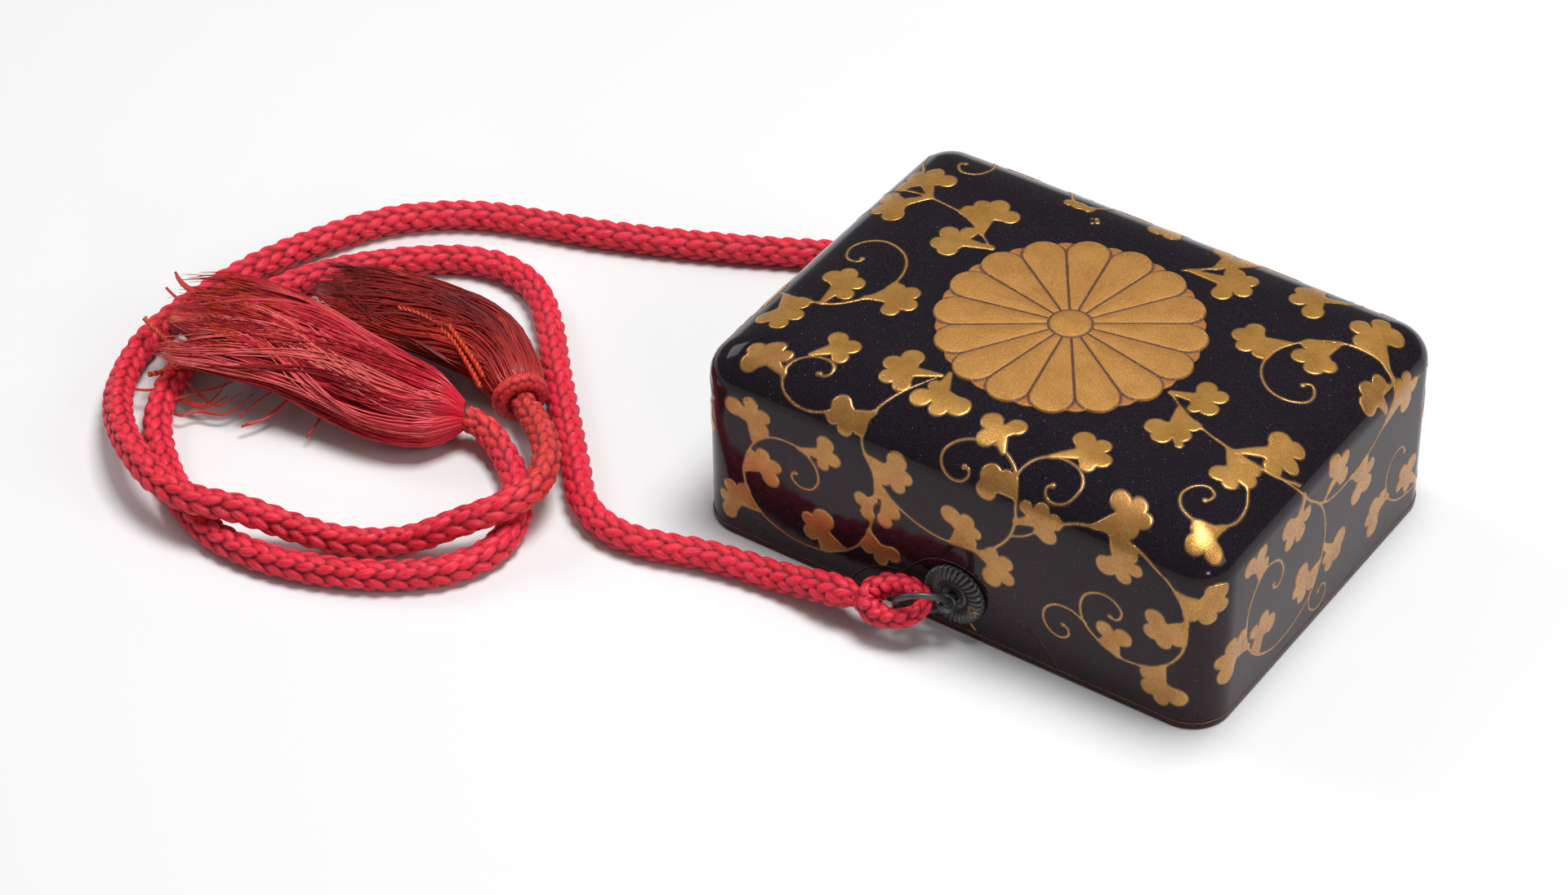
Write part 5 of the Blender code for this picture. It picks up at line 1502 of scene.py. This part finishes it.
FRONT_WISPS = [
    [(-170.0, -82.0, 3), (-168.1, -81.7, 3), (-167.0, -79.7, 3), (-165.3, -78.2, 3), (-162.7, -77.5, 3),
        (-160.6, -76.1, 3), (-159.3, -73.6, 4), (-157.6, -70.4, 6)],
    [(-176.0, -70.6, 7), (-174.5, -73.0, 4.6), (-171.1, -74.3, 4), (-168.3, -75.2, 4), (-165.3, -75.8, 4),
        (-162.4, -75.4, 4), (-160.0, -71.6, 6)],
    [(-181.6, -82.6, 5), (-177.4, -80.3, 5), (-175.2, -77.6, 6.6)],
    [(-172.6, -80.0, 4), (-170.9, -78.2, 4.5), (-169.2, -75.5, 4.5), (-167.7, -73.2, 4.5),
        (-166.0, -71.7, 5), (-163.4, -70.0, 6.5)],
    [(-172.4, -75.6, 4), (-171.1, -76.6, 3.5), (-168.5, -77.5, 3.5), (-166.4, -76.8, 3.5),
        (-165.7, -74.4, 3.5), (-165.6, -71.3, 4.4), (-165.3, -69.0, 6.5)],
    [(-172.5, -78.5, 3.5), (-170.1, -78.2, 3.5), (-167.2, -78.0, 3.5), (-164.9, -76.7, 3.5),
        (-162.6, -73.0, 5)],
    [(-157.9, -75.0, 3), (-157.5, -72.8, 3.4), (-156.0, -70.0, 5), (-153.6, -66.6, 7)],
    [(-155.4, -77.5, 3), (-153.8, -74.9, 3), (-152.5, -72.1, 3.4), (-151.2, -69.0, 4.6),
        (-149.4, -65.6, 7)],
    [(-155.0, -76.7, 3.2), (-153.2, -74.0, 3.2), (-151.8, -71.0, 3.6), (-150.4, -67.6, 5.4)],
    [(-153.1, -73.1, 3), (-152.0, -70.1, 4), (-150.6, -66.8, 6)],
    [(-142.1, -72.2, 2.5), (-142.3, -68.6, 3.4), (-142.5, -65.0, 6)],
    [(-142.1, -71.9, 2.8), (-142.0, -68.4, 3.8), (-141.6, -65.0, 6)],
    [(-131.9, -65.4, 4.6), (-130.2, -64.6, 5), (-127.8, -64.2, 6)],
    [(-190.3, -55.7, 15), (-187.1, -57.3, 15), (-183.0, -58.4, 15), (-179.0, -58.6, 14.6)],
    [(-190.0, -55.9, 15.2), (-186.9, -57.8, 15.2), (-183.0, -58.9, 15.2), (-178.0, -59.4, 14.6)],
    [(-189.4, -56.4, 14.8), (-186.4, -58.2, 15), (-182.4, -59.4, 15), (-177.0, -60.0, 14.6)],
    [(-188.4, -60.9, 15), (-185.5, -62.0, 15), (-181.6, -62.8, 14.8)],
]


def twisted(points):
    """Two plies round each other."""
    line = spline_mm(points, TWIST_STEP_MM)
    _, side, up = path_frames(line)
    turns = 2 * math.pi * np.arange(len(line)) * TWIST_STEP_MM / TWIST_PITCH_MM
    meshes = []
    for start, shade in ((0, 0.25), (math.pi, 0.75)):
        offset = side * np.cos(turns + start)[:, None] + up * np.sin(turns + start)[:, None]
        verts, faces = sweep(line + offset * TWIST_RADIUS_MM * 0.9, TWIST_RADIUS_MM, 8)
        meshes.append((verts, faces, {"shade": np.full(len(verts), shade)}))
    return meshes


def wisp(points, shade):
    """Two thin threads side by side that narrow to their ends."""
    path = spline_mm(points, WISP_STEP_MM)
    radii = WISP_RADIUS_MM * np.interp(np.linspace(0, 1, len(path)), (0, 0.7, 1), (1, 1, 0.4))
    meshes = []
    for shift in (0.0, WISP_APART_MM):
        verts, faces = sweep(path + np.array([0, shift, 0.2 * shift]), radii, 6)
        meshes.append((verts, faces, {"shade": np.full(len(verts), shade)}))
    return meshes


def make_twists(label, lines, slot):
    meshes = [mesh for line in lines for mesh in twisted(line)]
    return joined_piece(label + "_twisted_threads", meshes, ORANGE_THREADS, slot)


def make_wisps(label, lines, slot):
    meshes = [mesh for number, line in enumerate(lines) for mesh in wisp(line, 0.35 + 0.06 * (number % 5))]
    return joined_piece(label + "_stray_threads", meshes, STRAY_THREADS, slot)


def make_collar(label, place, silk, slot):
    """Fuzzy braided ring where the cord enters its tassel."""
    centre, sideways, upward = (column[COLLAR_AT] for column in place[:3])
    path = [centre + sideways * COLLAR_MM * math.cos(turn) + upward * COLLAR_MM * math.sin(turn)
            for turn in np.linspace(0, 2 * math.pi, COLLAR_STEPS, endpoint=False)]
    verts, faces, attributes = braid(path, COLLAR_STRAND_MM, columns=9, pitch=1.5, sides=28, seed=4.0,
                                     lean=1.1, bump=0.16, closed=True)
    attributes["fade"] = np.full(len(verts), COLLAR_FADE)
    return joined_piece(label + "_collar", [(verts, faces, attributes)], silk, slot)


def make_side(side, label, route, sections, silk, threads, slot, fray, seed, shades):
    """All pieces on one long side: fitting, cord and tassel."""
    make_plate(side, label)
    make_staple(side, label)
    make_ring(side, label)
    eye = make_cord_eye(side, label, silk, slot)
    cord, path = make_cord(side, label, route, silk, slot, fray)
    place = tassel_frame(path, sections)
    on_it = [eye, make_tassel(label, place, threads, slot, seed, shades)]
    if side < 0:
        on_it.append(make_twists(label, FRONT_TWISTS, slot))
        on_it.append(make_wisps(label, FRONT_WISPS, slot))
    else:
        on_it.append(make_twists(label, BACK_TWISTS, slot))
        on_it.append(make_collar(label, place, silk, slot))


# Floor, lights and camera

CAMERA_AT = Vector((375.5, -638.9, 632.8)) * MM
CAMERA_RIGHT = Vector((0.82577, 0.56388, -0.01217))
CAMERA_UP = Vector((-0.35364, 0.53445, 0.76766))
CAMERA_LENS = 108.15
CAMERA_SENSOR = 36
CAMERA_END = 20
FLOOR_REACH = 6.0
FLOOR_GREY = rgb(0.72, 0.72, 0.725)
WORLD_STRENGTH = 0.17

# Soft square lights: name, place, what it points at, side and power
LIGHTS = [
    ("key", (0.11, 0.14, 1.18), (0, 0, 0), 0.5, 15.4),
    ("right", (1.08, 0.10, 0.72), (0, 0, 0.02), 0.5, 3.6),
    ("low", (1.04, -0.78, 0.38), (0, 0, 0.02), 0.16, 1.6),
    ("left", (-1.2, 0.0, 0.9), (-0.05, 0, 0), 0.6, 4.6),
]


def add_light(name, at, aim, size, energy):
    data = bpy.data.lights.new(name, "AREA")
    data.shape = "RECTANGLE"
    data.size = data.size_y = size
    data.energy = energy
    light = bpy.data.objects.new(name, data)
    light.location = at
    light.rotation_euler = (Vector(aim) - Vector(at)).to_track_quat("-Z", "Y").to_euler()
    bpy.context.scene.collection.objects.link(light)


def make_stage():
    corners = [(x * FLOOR_REACH, y * FLOOR_REACH, 0) for x, y in ((-1, -1), (1, -1), (1, 1), (-1, 1))]
    paper = Finish("pale_floor", Roughness=0.65).done(FLOOR_GREY)
    floor = mesh_object("floor", corners, [(0, 1, 2, 3)], paper, smooth=False)
    for light in LIGHTS:
        add_light(*light)
    world = bpy.data.worlds.new("studio")
    world.use_nodes = True
    background = world.node_tree.nodes["Background"]
    background.inputs["Color"].default_value = rgb(1, 1, 1)
    background.inputs["Strength"].default_value = WORLD_STRENGTH
    bpy.context.scene.world = world
    camera_data = bpy.data.cameras.new("camera")
    camera_data.lens = CAMERA_LENS
    camera_data.sensor_width = CAMERA_SENSOR
    camera_data.sensor_fit = "HORIZONTAL"
    camera_data.clip_end = CAMERA_END
    camera = bpy.data.objects.new("camera", camera_data)
    back = CAMERA_RIGHT.cross(CAMERA_UP).normalized()
    up = back.cross(CAMERA_RIGHT).normalized()
    turned = Matrix((up.cross(back), up, back)).transposed()
    camera.matrix_world = Matrix.Translation(CAMERA_AT) @ turned.to_4x4()
    bpy.context.scene.collection.objects.link(camera)
    bpy.context.scene.camera = camera
    bpy.context.scene.view_settings.view_transform = "Standard"


make_stage()
make_tray()
make_lid()
make_hairlines()
make_vines()
make_medallion()
make_side(-1, "front", FRONT_ROUTE, FRONT_TASSEL, FRONT_SILK, FRONT_THREADS, "silk",
          fray=16, seed=11, shades=(0.1, 0.95))
make_side(1, "back", BACK_ROUTE, BACK_TASSEL, BACK_SILK, BACK_THREADS, "faded_silk",
          fray=42, seed=23, shades=(0.05, 0.85))
